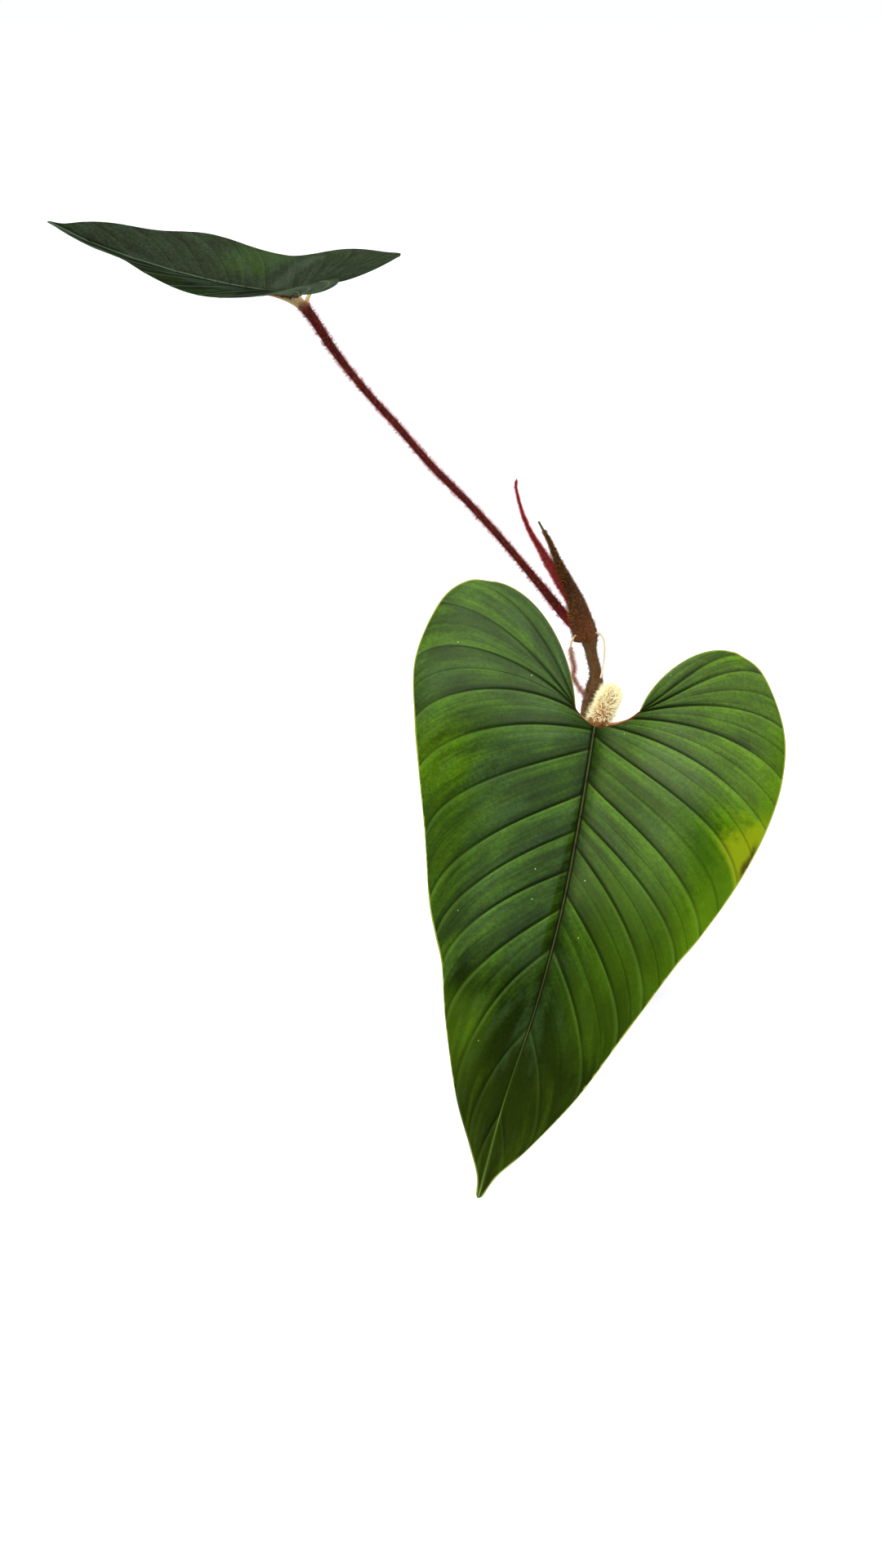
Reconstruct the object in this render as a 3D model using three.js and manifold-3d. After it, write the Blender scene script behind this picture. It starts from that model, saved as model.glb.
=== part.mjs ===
// Potted red serpens philodendron: a young climbing aroid with two heart-shaped leaves on bristly
// petioles, a rolled new leaf beside its brown sheath, and two aerial roots, in a plain tapered pot.
// Millimetres, +Z up. The origin is the middle of the pot's foot, on the surface it stands on.

import * as THREE from 'three';
import { mergeVertices } from 'three/addons/utils/BufferGeometryUtils.js';
import Module from 'manifold-3d';

const wasm = await Module();
wasm.setup();

// Clearance between pieces that touch
const GAP = 0.3;
// Points closer than this are one point
const MERGE_DISTANCE = 1e-4;

// Pot, tapered, with a thick rim and a ring of drainage holes round a solid middle
const POT_HEIGHT = 95;
const POT_FOOT_RADIUS = 39;
const POT_TOP_RADIUS = 51;
const POT_WALL = 4;
const POT_FLOOR = 6;
const POT_EDGE = 1.5;
const RIM_HEIGHT = 14;
const RIM_OVERHANG = 2.5;
const POT_SEGMENTS = 48;
const DRAIN_COUNT = 5;
const DRAIN_RADIUS = 4.5;
const DRAIN_RING_RADIUS = 24;
const DRAIN_SEGMENTS = 12;

// Potting mix
const MIX_TOP = 85;
const MIX_RINGS = 7;
const MIX_LUMP = 1.6;
// Lumps fade out towards the wall over this share of the radius
const MIX_LUMP_FADE = 1 / 3;
const MIX_LUMP_WAVES = [
  { share: 1, x: 0.31, y: 0.27, shift: 1 },
  { share: 0.7, x: -0.22, y: 0.45, shift: 2 },
  { share: 0.6, x: 0.8, y: -0.7, shift: 0 },
];

// Sides and steps of each kind of limb
const LIMB_DETAIL = {
  stem: { sides: 10, steps: 40 },
  petiole: { sides: 8, steps: 26 },
  spear: { sides: 8, steps: 20 },
  sheath: { sides: 10, steps: 20 },
  root: { sides: 6, steps: 20 },
};

// Stem, from inside the mix up to the node that carries the newest growth
const STEM_POINTS = [
  [13.5, 1, 48], [13.5, 1, 86], [12, 1, 110], [9.2, 0, 132], [8.8, 0, 146],
  [12.2, 0, 156.7], [12, 0, 162.8], [9.9, 0, 171.2], [8.6, 0, 179], [8, 0, 187],
];
const STEM_FOOT_RADIUS = 4.4;
const STEM_TIP_RADIUS = 2.3;
const STEM_NODES = [
  { height: 100, swell: 1.1 },
  { height: 122, swell: 1.4 },
  { height: 155, swell: 1.2 },
  { height: 179, swell: 1.5 },
];
const NODE_SPREAD = 4;

// Petiole of the front leaf: up and forward from its node, then over to the blade
const FRONT_PETIOLE = {
  points: [
    [10, -1, 121], [10.4, -10, 130], [11.4, -30, 147], [12.2, -52, 162.5], [12.4, -75, 174.5],
    [11.8, -94, 181.2], [9.8, -107, 182.6], [6.8, -116.5, 180], [3.4, -122.3, 175.5], [1.6, -126, 170.5],
  ],
  footRadius: 3.9,
  middleRadius: 2.9,
  topRadius: 3.9,
  seed: 7,
  bristles: 120,
  bristleFrom: 0.12,
  bristleTo: 0.93,
  bristleLength: [2.2, 4.4],
};

// Petiole of the far leaf: a long arch up and to the left
const FAR_PETIOLE = {
  points: [
    [7.5, 3.8, 180], [1, 5, 184.6], [-15.2, 10, 203.1], [-31.1, 16, 221], [-48.1, 21.5, 238.9],
    [-65.4, 26, 255.6], [-82.3, 30.5, 274.4], [-97.9, 35, 291], [-112, 39.5, 308.5],
    [-122.2, 43.5, 323.4], [-129.5, 48, 331],
  ],
  footRadius: 2.5,
  middleRadius: 1.7,
  topRadius: 2.4,
  seed: 11,
  bristles: 130,
  bristleFrom: 0.1,
  bristleTo: 0.95,
  bristleLength: [2, 2.3],
};
// Share of a petiole's length over which each end widens
const PETIOLE_FLARE = 0.25;
const BRISTLE_RADIUS = 0.5;
const BRISTLE_SIDES = 3;
const BRISTLE_SINK = 0.6;
const BRISTLE_LEAN = 0.35;
const BRISTLE_TURN_SPREAD = 0.5;
const BRISTLE_LEAN_SPREAD = [0.4, 1.6];
const BRISTLE_LENGTH_SPREAD = [0.8, 1.15];
const GOLDEN_ANGLE = Math.PI * (3 - Math.sqrt(5));

// New leaf, still rolled into a spear
const SPEAR_POINTS = [
  [3, 1.7, 192.5], [0.1, 1.8, 198.5], [-4.1, 1.9, 204.5], [-7.9, 2.1, 210.5], [-11.7, 2.3, 216.2],
  [-15.2, 2.5, 222], [-18.9, 2.6, 228], [-22.9, 2.8, 236.9], [-25.6, 3, 245.8], [-26.6, 3.2, 250.5],
  [-26.3, 3.4, 254.5],
];
const SPEAR_FOOT_RADIUS = 3.3;
const SPEAR_TIP_RADIUS = 0.4;

// Cataphyll, the brown sheath that wrapped the new leaf
const SHEATH_POINTS = [
  [7, 0.4, 178.7], [5.8, 0.4, 183.5], [4.2, 0.4, 189.5], [2.4, 0.4, 195.5], [-0.8, 0.4, 203.3],
  [-4.5, 0.4, 211.2], [-8, 0.4, 219], [-10.8, 0.4, 225.6], [-13.6, 0.3, 230.6], [-16, 0.2, 235],
];
const SHEATH_FOOT_RADIUS = 5.7;
const SHEATH_TIP_RADIUS = 0.6;
const SHEATH_TAPER = 0.8;

// Aerial roots, thin loops that leave the top node
const ROOT_RADIUS = 0.6;
const ROOT_TAPER = 0.7;
const RIGHT_ROOT_POINTS = [
  [9.6, -1.2, 180.3], [12.8, -2.2, 182.3], [14.9, -2.4, 180.2], [15.9, -2.3, 175.6], [15.8, -2.3, 170.6],
  [15.3, -2.8, 165.4], [14.3, -3.3, 160.6],
];
const LEFT_ROOT_POINTS = [
  [7.2, -1.4, 180.2], [3, -2.2, 181.3], [0.4, -2.4, 178.6], [0, -2.3, 173.6], [1.1, -2.2, 168.4],
  [1.9, -2, 164.6], [1.2, -2, 161.2], [2.9, -2, 157.7], [5.1, -1.8, 154], [7.6, -1.2, 150.6],
];

// Leaf blade in its own plane: x across, y from the junction to the tip, z out of the upper face.
// Each row is a side vein: [root on the spine, heading at the root, reach out from the midline,
// place along the blade, heading at the margin]. Roots below 0 lie along the sinus edge, and
// headings are degrees away from the tip's direction. The first row is the lobe's inner margin and
// the last one the blunt tip, so the ends of the rows draw the outline.
const BLADE_LENGTH = 200;
const NARROW_HALF = [
  [-11.3, 166, 56, -55, 88],
  [-11.1, 149, 68.1, -52.4, 84],
  [-10.9, 134, 77, -39.6, 82],
  [-10.3, 128, 80.4, -11, 28],
  [-8, 112, 73.6, 16, 22],
  [2, 88, 66.6, 36.5, 20],
  [10, 58, 57, 63, 8],
  [30, 53, 48.4, 89.5, 5],
  [46, 54, 42.5, 102.5, 8],
  [63, 55, 36.8, 114, 5],
  [79, 46, 30, 135, 0],
  [96, 44, 18.6, 163, -12],
  [129, 33, 8.8, 180.3, -15],
  [164, 20, 3, 191, -16],
  [199.8, 90, 1.3, 198.9, 90],
];
const BROAD_HALF = [
  [-20.7, 176, 47, -48.4, 92],
  [-20.3, 136, 53, -47.8, 105],
  [-20, 126, 64.5, -41, 78],
  [-19, 118, 77.4, -18.5, 62],
  [-14, 104, 81, 4, 48],
  [-4, 90, 78.6, 27.5, 40],
  [4, 62, 71.6, 53, 14],
  [24, 56, 61.4, 78, 12],
  [40, 56, 54.6, 91.5, 14],
  [52.7, 50, 45.6, 112.5, 6],
  [73, 46, 38.8, 128.5, 4],
  [96, 38, 28.4, 152.5, -5],
  [129, 33, 14.4, 176.5, -12],
  [164, 22, 5.2, 189.4, -20],
  [199.8, 90, 1.3, 198.9, 90],
];
// The sinus edge of each half as one curve: its control point and its outer end, [out, along]
const NARROW_COSTA = [[6, -2], [9.5, -6]];
const BROAD_COSTA = [[12, -3], [16.7, -11.3]];
const HALVES = [
  { rows: NARROW_HALF, costa: NARROW_COSTA, side: 1 },
  { rows: BROAD_HALF, costa: BROAD_COSTA, side: -1 },
];
// Sway of the midrib towards the broad half, at every fifth of the blade
const MIDRIB_SWAY = [[0], [3], [4.8], [4], [0.6], [-0.3]];
const ROOT_HANDLE = 0.36;
const MARGIN_HANDLE = 0.3;
const BLADE_THICKNESS = 0.9;
const RIB_DEPTH = 2.4;
const RIB_TIP_DEPTH = 0.4;
const RIB_HALF_WIDTH = 1.8;
const RIB_LARGEST_SHARE = 0.3;
const VALLEY_ROUNDING = 3;
const STATION_STEP = 8;
const LOBE_STEP = 0.5;
const BLADE_COLUMNS = 8;
const PUFF_SHARPNESS = 0.7;
const INNER_ROLL_REACH = 0.9;
const WAVE_TIP_FADE = 6;
// Share of the margin's length over which the lobe's end droops
const DROOP_REACH = 0.06;
const PLACE_TOLERANCE = 1e-7;
// Steps from row to row when the margin's length is measured
const MARGIN_STEPS = 20;

// Set of each blade: where its junction is, which way the tip points, and how the blade is bent.
// rise lifts each half from the midrib, curl turns its margin down again, arch bows the length,
// roll turns the lobes' inner margins back, droop lowers the lobes' ends, puff raises the panels
// between the side veins, and waves are the margin's slow waves, [sine, cosine] for one, two and
// three waves by length from the lobe's inner corner to the tip.
const FRONT_BLADE = {
  junction: [3, -125, 177],
  heading: -116.6,
  pitch: -56.7,
  turn: 21.7,
  scale: 1,
  mirror: 1,
  arch: 12,
  rise: { narrow: 0.16, broad: 0.16 },
  curl: { narrow: 0.0019, broad: 0.0019 },
  lobeLift: 0,
  roll: { narrow: 2, broad: 5 },
  droop: { narrow: 0, broad: 0 },
  puff: 1,
  waves: { narrow: [[0, 0]], broad: [[0, 0]] },
};
const FAR_BLADE = {
  junction: [-129, 48.9, 332.5],
  heading: 155.2,
  pitch: 11.4,
  turn: 6.5,
  scale: 0.7,
  mirror: -1,
  arch: -10.5,
  rise: { narrow: 0.42, broad: 0.43 },
  curl: { narrow: 0.0024, broad: 0.0031 },
  lobeLift: 0.0019,
  roll: { narrow: 1, broad: 2 },
  droop: { narrow: 0, broad: 3.6 },
  puff: 0.8,
  waves: {
    narrow: [[-1.3, 3], [1.6, -0.5], [0.1, 0.1]],
    broad: [[-4, 2.4], [1.2, -1], [-2.7, 0.1]],
  },
};

// Same draw of numbers every time
function randomSource(seed) {
  const [multiplier, increment, modulus] = [1664525, 1013904223, 2 ** 32];
  let state = seed;
  return () => {
    state = (state * multiplier + increment) % modulus;
    return state / modulus;
  };
}

function mix(from, to, amount) {
  return from + (to - from) * amount;
}

function smooth(amount) {
  const x = THREE.MathUtils.clamp(amount, 0, 1);
  return x * x * (3 - 2 * x);
}

function toVector(point) {
  return new THREE.Vector3(...point);
}

// A closed mesh as a solid, with shared vertices merged and slivers of no area dropped
function toSolid(geometry) {
  const bare = new THREE.BufferGeometry();
  bare.setAttribute('position', geometry.getAttribute('position'));
  bare.setIndex(geometry.getIndex());
  const merged = mergeVertices(bare, MERGE_DISTANCE);
  const index = merged.getIndex().array;
  const triangles = [];
  for (let i = 0; i < index.length; i += 3) {
    const [a, b, c] = index.slice(i, i + 3);
    if (a !== b && b !== c && c !== a) {
      triangles.push(a, b, c);
    }
  }
  return new wasm.Manifold(new wasm.Mesh({
    numProp: 3,
    vertProperties: new Float32Array(merged.getAttribute('position').array),
    triVerts: new Uint32Array(triangles),
  }));
}

function toGeometry(solid) {
  const mesh = solid.getMesh();
  const geometry = new THREE.BufferGeometry();
  geometry.setAttribute('position', new THREE.BufferAttribute(new Float32Array(mesh.vertProperties), 3));
  geometry.setIndex(new THREE.BufferAttribute(new Uint32Array(mesh.triVerts), 1));
  geometry.computeVertexNormals();
  return geometry;
}

// The biggest body of a solid: a cut can leave loose scraps beside it
function mainBody(solid) {
  const bodies = solid.decompose();
  return bodies.reduce((best, body) => (body.volume() > best.volume() ? body : best));
}

function withoutNeighbours(solid, neighbours) {
  return mainBody(neighbours.reduce((rest, neighbour) => rest.subtract(neighbour), solid));
}

// A tapered limb: a cylinder bent along a curve, with a radius for each place along it
function limb({ points, radiusAt, sides, steps, grow = 0 }) {
  const path = new THREE.CatmullRomCurve3(points.map(toVector));
  const frames = path.computeFrenetFrames(steps);
  const geometry = new THREE.CylinderGeometry(1, 1, 1, sides, steps);
  const position = geometry.getAttribute('position');
  for (let i = 0; i < position.count; i++) {
    const u = position.getY(i) + 0.5;
    const step = Math.round(u * steps);
    const point = path.getPointAt(u);
    const radius = radiusAt(u, point) + grow;
    point.addScaledVector(frames.binormals[step], position.getX(i) * radius);
    point.addScaledVector(frames.normals[step], position.getZ(i) * radius);
    position.setXYZ(i, point.x, point.y, point.z);
  }
  return toSolid(geometry);
}

// Three-sided bristles set round a petiole in a golden-angle spiral, roots sunk into it
function bristles(petiole) {
  const random = randomSource(petiole.seed);
  const path = new THREE.CatmullRomCurve3(petiole.points.map(toVector));
  const steps = petiole.bristles;
  const frames = path.computeFrenetFrames(steps);
  const up = new THREE.Vector3(0, 1, 0);
  const solids = [];
  for (let i = 0; i < steps; i++) {
    const u = i / steps;
    if (u < petiole.bristleFrom || u > petiole.bristleTo) {
      continue;
    }
    const angle = i * GOLDEN_ANGLE + random() * BRISTLE_TURN_SPREAD;
    const length = mix(...petiole.bristleLength, u) * mix(...BRISTLE_LENGTH_SPREAD, random());
    const outward = new THREE.Vector3()
      .addScaledVector(frames.normals[i], Math.cos(angle))
      .addScaledVector(frames.binormals[i], Math.sin(angle));
    const direction = outward.clone()
      .addScaledVector(frames.tangents[i], BRISTLE_LEAN * mix(...BRISTLE_LEAN_SPREAD, random()))
      .normalize();
    const cone = new THREE.ConeGeometry(BRISTLE_RADIUS, length + BRISTLE_SINK, BRISTLE_SIDES);
    cone.translate(0, (length - BRISTLE_SINK) / 2, 0);
    cone.applyQuaternion(new THREE.Quaternion().setFromUnitVectors(up, direction));
    const root = path.getPointAt(u).addScaledVector(outward, petioleRadius(petiole, u));
    cone.translate(root.x, root.y, root.z);
    solids.push(toSolid(cone));
  }
  return wasm.Manifold.union(solids);
}

function petioleRadius(petiole, u) {
  const shaft = mix(petiole.footRadius, petiole.middleRadius, smooth(u / PETIOLE_FLARE));
  return mix(shaft, petiole.topRadius, smooth((u + PETIOLE_FLARE - 1) / PETIOLE_FLARE));
}

function petioleLimb(petiole, grow = 0) {
  return limb({
    points: petiole.points,
    radiusAt: (u) => petioleRadius(petiole, u),
    ...LIMB_DETAIL.petiole,
    grow,
  });
}

function stemLimb(grow = 0) {
  const [low, high] = [STEM_POINTS[0][2], STEM_POINTS.at(-1)[2]];
  return limb({
    points: STEM_POINTS,
    radiusAt: (u, point) => {
      const taper = mix(STEM_FOOT_RADIUS, STEM_TIP_RADIUS, (point.z - low) / (high - low));
      const swell = STEM_NODES.reduce((sum, node) => {
        const distance = (point.z - node.height) / NODE_SPREAD;
        return sum + node.swell * Math.exp(-distance * distance);
      }, 0);
      return taper + swell;
    },
    ...LIMB_DETAIL.stem,
    grow,
  });
}

function spearLimb(grow = 0) {
  return limb({
    points: SPEAR_POINTS,
    radiusAt: (u) => mix(SPEAR_FOOT_RADIUS, SPEAR_TIP_RADIUS, smooth(u)),
    ...LIMB_DETAIL.spear,
    grow,
  });
}

function sheathLimb() {
  return limb({
    points: SHEATH_POINTS,
    radiusAt: (u) => mix(SHEATH_FOOT_RADIUS, SHEATH_TIP_RADIUS, smooth(Math.pow(u, SHEATH_TAPER))),
    ...LIMB_DETAIL.sheath,
  });
}

function rootLimb(points, grow = 0) {
  return limb({
    points,
    radiusAt: (u) => ROOT_RADIUS * mix(1, ROOT_TAPER, u),
    ...LIMB_DETAIL.root,
    grow,
  });
}

// One value of a smooth curve through evenly spaced rows of numbers
function splineRow(rows, place) {
  const last = rows.length - 1;
  const i = THREE.MathUtils.clamp(Math.floor(place), 0, last - 1);
  const f = place - i;
  const after = rows[i + 1];
  return rows[i].map((value, k) => {
    const before = rows[i - 1] ? rows[i - 1][k] : 2 * value - after[k];
    const beyond = rows[i + 2] ? rows[i + 2][k] : 2 * after[k] - value;
    const slope = (after[k] - before) / 2;
    const nextSlope = (beyond - value) / 2;
    const rise = after[k] - value;
    return value + f * (slope + f * (3 * rise - 2 * slope - nextSlope + f * (slope + nextSlope - 2 * rise)));
  });
}

function midribX(along) {
  const place = (along / BLADE_LENGTH) * (MIDRIB_SWAY.length - 1);
  return -splineRow(MIDRIB_SWAY, place)[0];
}

// The spine of a half: the sinus edge below 0, the midrib above
function spinePoint(half, root) {
  if (root >= 0) {
    return new THREE.Vector2(midribX(root), root);
  }
  const [control, end] = half.costa.map(([out, along]) => new THREE.Vector2(half.side * out, along));
  return new THREE.QuadraticBezierCurve(new THREE.Vector2(), control, end).getPoint(root / half.rows[0][0]);
}

// The side vein at a place between the rows, as a curve from its root on the spine to the margin
function sideVein(half, place, root) {
  const [, heading, out, along, marginHeading] = splineRow(half.rows, place);
  const start = spinePoint(half, root);
  const end = new THREE.Vector2(half.side * out, along);
  const reach = start.distanceTo(end);
  const toward = (degrees) => {
    const angle = THREE.MathUtils.degToRad(degrees);
    return new THREE.Vector2(half.side * Math.sin(angle), Math.cos(angle));
  };
  const first = start.clone().addScaledVector(toward(heading), reach * ROOT_HANDLE);
  const second = end.clone().addScaledVector(toward(marginHeading), -reach * MARGIN_HANDLE);
  return new THREE.CubicBezierCurve(start, first, second, end);
}

// The place between the rows where a side vein leaves the spine at a given root
function placeOfRoot(half, root) {
  let low = 0;
  let high = half.rows.length - 1;
  while (high - low > PLACE_TOLERANCE) {
    const middle = (low + high) / 2;
    if (splineRow(half.rows, middle)[0] < root) {
      low = middle;
    } else {
      high = middle;
    }
  }
  return high;
}

// Share of the margin's length walked at each step between the rows, from the lobe's inner corner
function marginWalk({ rows }) {
  const steps = (rows.length - 1) * MARGIN_STEPS;
  const ends = Array.from({ length: steps + 1 }, (_, i) => splineRow(rows, i / MARGIN_STEPS));
  const walked = [0];
  for (let i = 1; i <= steps; i++) {
    walked.push(walked[i - 1] + Math.hypot(ends[i][2] - ends[i - 1][2], ends[i][3] - ends[i - 1][3]));
  }
  return walked.map((length) => length / walked.at(-1));
}

const MARGIN_WALKS = new Map(HALVES.map((half) => [half, marginWalk(half)]));

function marginShare(half, place) {
  const walk = MARGIN_WALKS.get(half);
  const i = THREE.MathUtils.clamp(Math.floor(place * MARGIN_STEPS), 0, walk.length - 2);
  return mix(walk[i], walk[i + 1], place * MARGIN_STEPS - i);
}

// Height of the upper face over the blade's plane
function bladeHeight(blade, half, place, across, point) {
  const name = half.side > 0 ? 'narrow' : 'broad';
  const fromMidrib = point.x - (point.y > 0 ? midribX(point.y) : 0);
  const valley = Math.hypot(fromMidrib, VALLEY_ROUNDING) - VALLEY_ROUNDING;
  const along = point.y / BLADE_LENGTH;
  const bow = 4 * blade.arch * along * (1 - along) + blade.lobeLift * Math.min(point.y, 0) ** 2;
  const fold = blade.rise[name] * valley - blade.curl[name] * fromMidrib * fromMidrib;
  const rollShare = Math.max(0, 1 - place / INNER_ROLL_REACH);
  const roll = blade.roll[name] * rollShare * rollShare * Math.sin(Math.PI * Math.sqrt(across));
  const panel = Math.pow(Math.abs(Math.sin(Math.PI * place)), PUFF_SHARPNESS);
  const puff = blade.puff * panel * Math.sin(Math.PI * Math.sqrt(across));
  const share = marginShare(half, place);
  const fade = 1 - Math.pow(share, WAVE_TIP_FADE);
  const wave = blade.waves[name].reduce((sum, [sine, cosine], i) => {
    const angle = 2 * Math.PI * (i + 1) * share;
    return sum + sine * Math.sin(angle) + cosine * Math.cos(angle);
  }, 0);
  const droop = blade.droop[name] * Math.exp(-Math.pow(share / DROOP_REACH, 2));
  return bow + fold - roll + puff + (wave * fade - droop) * across * across;
}

// Places and roots of the lines across a half: along the sinus edge, then at midrib stations, which
// are the same for both halves
function bladePlaces(half) {
  const roots = HALVES.flatMap(({ rows }) => rows.map(([root]) => root)).filter((root) => root > 0);
  const marks = [0, ...new Set(roots.sort((a, b) => a - b))];
  const stations = marks.slice(1).flatMap((mark, i) => {
    const parts = Math.ceil((mark - marks[i]) / STATION_STEP);
    return Array.from({ length: parts }, (_, k) => mix(marks[i], mark, k / parts));
  });
  stations.push(marks.at(-1));
  const junctionPlace = placeOfRoot(half, 0);
  const places = [];
  for (let place = 0; place < junctionPlace - LOBE_STEP / 2; place += LOBE_STEP) {
    places.push({ place, root: splineRow(half.rows, place)[0] });
  }
  return [...places, ...stations.map((root) => ({ place: placeOfRoot(half, root), root }))];
}

// The blade as a closed mesh: upper and lower faces split alike, and a rim round the outline
function bladeSolid(blade, grow = 0) {
  const corners = [];
  const add = (a, b, c, d, flip) => {
    const faces = flip ? [a, c, b, a, d, c] : [a, b, c, a, c, d];
    faces.forEach((point) => corners.push(point.x * blade.mirror, point.y, point.z));
  };
  for (const half of HALVES) {
    const flip = half.side * blade.mirror < 0;
    const lines = bladePlaces(half).map((line) => bladeLine(blade, half, line, grow));
    for (let i = 0; i + 1 < lines.length; i++) {
      const [here, next] = [lines[i], lines[i + 1]];
      for (let k = 0; k < BLADE_COLUMNS; k++) {
        add(here.top[k], here.top[k + 1], next.top[k + 1], next.top[k], flip);
        add(here.bottom[k], here.bottom[k + 1], next.bottom[k + 1], next.bottom[k], !flip);
      }
      const end = BLADE_COLUMNS;
      add(here.top[end], here.bottom[end], next.bottom[end], next.top[end], flip);
      if (next.root <= 0) {
        add(here.top[0], here.bottom[0], next.bottom[0], next.top[0], !flip);
      }
    }
    [[lines[0], !flip], [lines.at(-1), flip]].forEach(([line, turned]) => {
      for (let k = 0; k < BLADE_COLUMNS; k++) {
        add(line.top[k], line.top[k + 1], line.bottom[k + 1], line.bottom[k], turned);
      }
    });
  }
  const geometry = new THREE.BufferGeometry();
  geometry.setAttribute('position', new THREE.Float32BufferAttribute(corners, 3));
  geometry.setIndex([...Array(corners.length / 3).keys()]);
  geometry.applyMatrix4(bladeMatrix(blade));
  return toSolid(geometry);
}

// Points of one line across a half, on the upper and the lower face
function bladeLine(blade, half, { place, root }, grow) {
  const vein = sideVein(half, place, root);
  const reach = vein.v0.distanceTo(vein.v3);
  const ribShare = Math.min(RIB_HALF_WIDTH / reach, RIB_LARGEST_SHARE);
  const top = [];
  const bottom = [];
  for (let k = 0; k <= BLADE_COLUMNS; k++) {
    const across = k === 0 ? 0 : mix(ribShare, 1, (k - 1) / (BLADE_COLUMNS - 1));
    const point = vein.getPoint(across);
    const height = bladeHeight(blade, half, place, across, point) * blade.scale;
    const rib = k === 0 ? ribDepth(half, root) * blade.scale : 0;
    const flat = point.multiplyScalar(blade.scale);
    top.push(new THREE.Vector3(flat.x, flat.y, height + grow));
    bottom.push(new THREE.Vector3(flat.x, flat.y, height - BLADE_THICKNESS - rib - grow));
  }
  return { top, bottom, root };
}

// The rib below the spine, thickest at the junction
function ribDepth(half, root) {
  const share = root < 0 ? root / half.rows[0][0] : root / BLADE_LENGTH;
  return mix(RIB_DEPTH, RIB_TIP_DEPTH, share);
}

// From the blade's own plane to its place on the plant
function bladeMatrix(blade) {
  const heading = THREE.MathUtils.degToRad(blade.heading);
  const pitch = THREE.MathUtils.degToRad(blade.pitch);
  const turn = THREE.MathUtils.degToRad(blade.turn);
  const tip = new THREE.Vector3(Math.cos(heading), Math.sin(heading), 0).multiplyScalar(Math.cos(pitch));
  tip.z = Math.sin(pitch);
  const up = new THREE.Vector3(0, 0, 1).addScaledVector(tip, -tip.z).normalize();
  const level = new THREE.Vector3().crossVectors(tip, up);
  const across = level.multiplyScalar(Math.cos(turn)).addScaledVector(up, Math.sin(turn));
  const normal = new THREE.Vector3().crossVectors(across, tip);
  return new THREE.Matrix4().makeBasis(across, tip, normal).setPosition(...blade.junction);
}

// Outer radius of the pot's wall at a height
function potRadius(height) {
  return mix(POT_FOOT_RADIUS, POT_TOP_RADIUS, height / POT_HEIGHT);
}

// A solid turned about the vertical axis from [radius, height] points
function turned(profile, segments) {
  const geometry = new THREE.LatheGeometry(profile.map(([r, z]) => new THREE.Vector2(r, z)), segments);
  return geometry.rotateX(Math.PI / 2);
}

function potSolid() {
  const rimBottom = POT_HEIGHT - RIM_HEIGHT;
  const profile = [
    [0, 0],
    [POT_FOOT_RADIUS - POT_EDGE, 0],
    [POT_FOOT_RADIUS, POT_EDGE],
    [potRadius(rimBottom), rimBottom],
    [potRadius(rimBottom) + RIM_OVERHANG, rimBottom + RIM_OVERHANG / 2],
    [POT_TOP_RADIUS + RIM_OVERHANG, POT_HEIGHT - POT_EDGE],
    [POT_TOP_RADIUS + RIM_OVERHANG - POT_EDGE, POT_HEIGHT],
    [POT_TOP_RADIUS - POT_WALL + POT_EDGE, POT_HEIGHT],
    [POT_TOP_RADIUS - POT_WALL, POT_HEIGHT - POT_EDGE],
    [potRadius(POT_FLOOR) - POT_WALL, POT_FLOOR],
    [0, POT_FLOOR],
  ];
  const drains = Array.from({ length: DRAIN_COUNT }, (_, i) => {
    const angle = (2 * Math.PI * i) / DRAIN_COUNT;
    const hole = new THREE.CylinderGeometry(DRAIN_RADIUS, DRAIN_RADIUS, 3 * POT_FLOOR, DRAIN_SEGMENTS);
    hole.rotateX(Math.PI / 2);
    hole.translate(DRAIN_RING_RADIUS * Math.cos(angle), DRAIN_RING_RADIUS * Math.sin(angle), 0);
    return toSolid(hole);
  });
  return withoutNeighbours(toSolid(turned(profile, POT_SEGMENTS)), drains);
}

function mixSolid() {
  const wallInside = (height) => potRadius(height) - POT_WALL - GAP;
  const foot = POT_FLOOR + GAP;
  const profile = [[0, foot], [wallInside(foot), foot]];
  for (let ring = MIX_RINGS; ring >= 0; ring--) {
    profile.push([(wallInside(MIX_TOP) * ring) / MIX_RINGS, MIX_TOP]);
  }
  const geometry = turned(profile, POT_SEGMENTS / 2);
  const position = geometry.getAttribute('position');
  for (let i = 0; i < position.count; i++) {
    const [x, y, z] = [position.getX(i), position.getY(i), position.getZ(i)];
    const inside = 1 - Math.hypot(x, y) / wallInside(MIX_TOP);
    const lumps = MIX_LUMP_WAVES.reduce((sum, wave) => (
      sum + wave.share * Math.sin(x * wave.x + y * wave.y + wave.shift)
    ), 0);
    if (z > MIX_TOP - GAP) {
      position.setZ(i, z + MIX_LUMP * lumps * smooth(inside / MIX_LUMP_FADE));
    }
  }
  return toSolid(geometry);
}

function petioleSolid(petiole, blade) {
  return withoutNeighbours(petioleLimb(petiole).add(bristles(petiole)), [bladeSolid(blade, GAP)]);
}

const rootRoom = [rootLimb(RIGHT_ROOT_POINTS, GAP), rootLimb(LEFT_ROOT_POINTS, GAP)];
const frontPetioleRoom = petioleLimb(FRONT_PETIOLE, GAP);
const farPetioleRoom = petioleLimb(FAR_PETIOLE, GAP);
const spearRoom = spearLimb(GAP);
const stemRoom = stemLimb(GAP);

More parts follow.
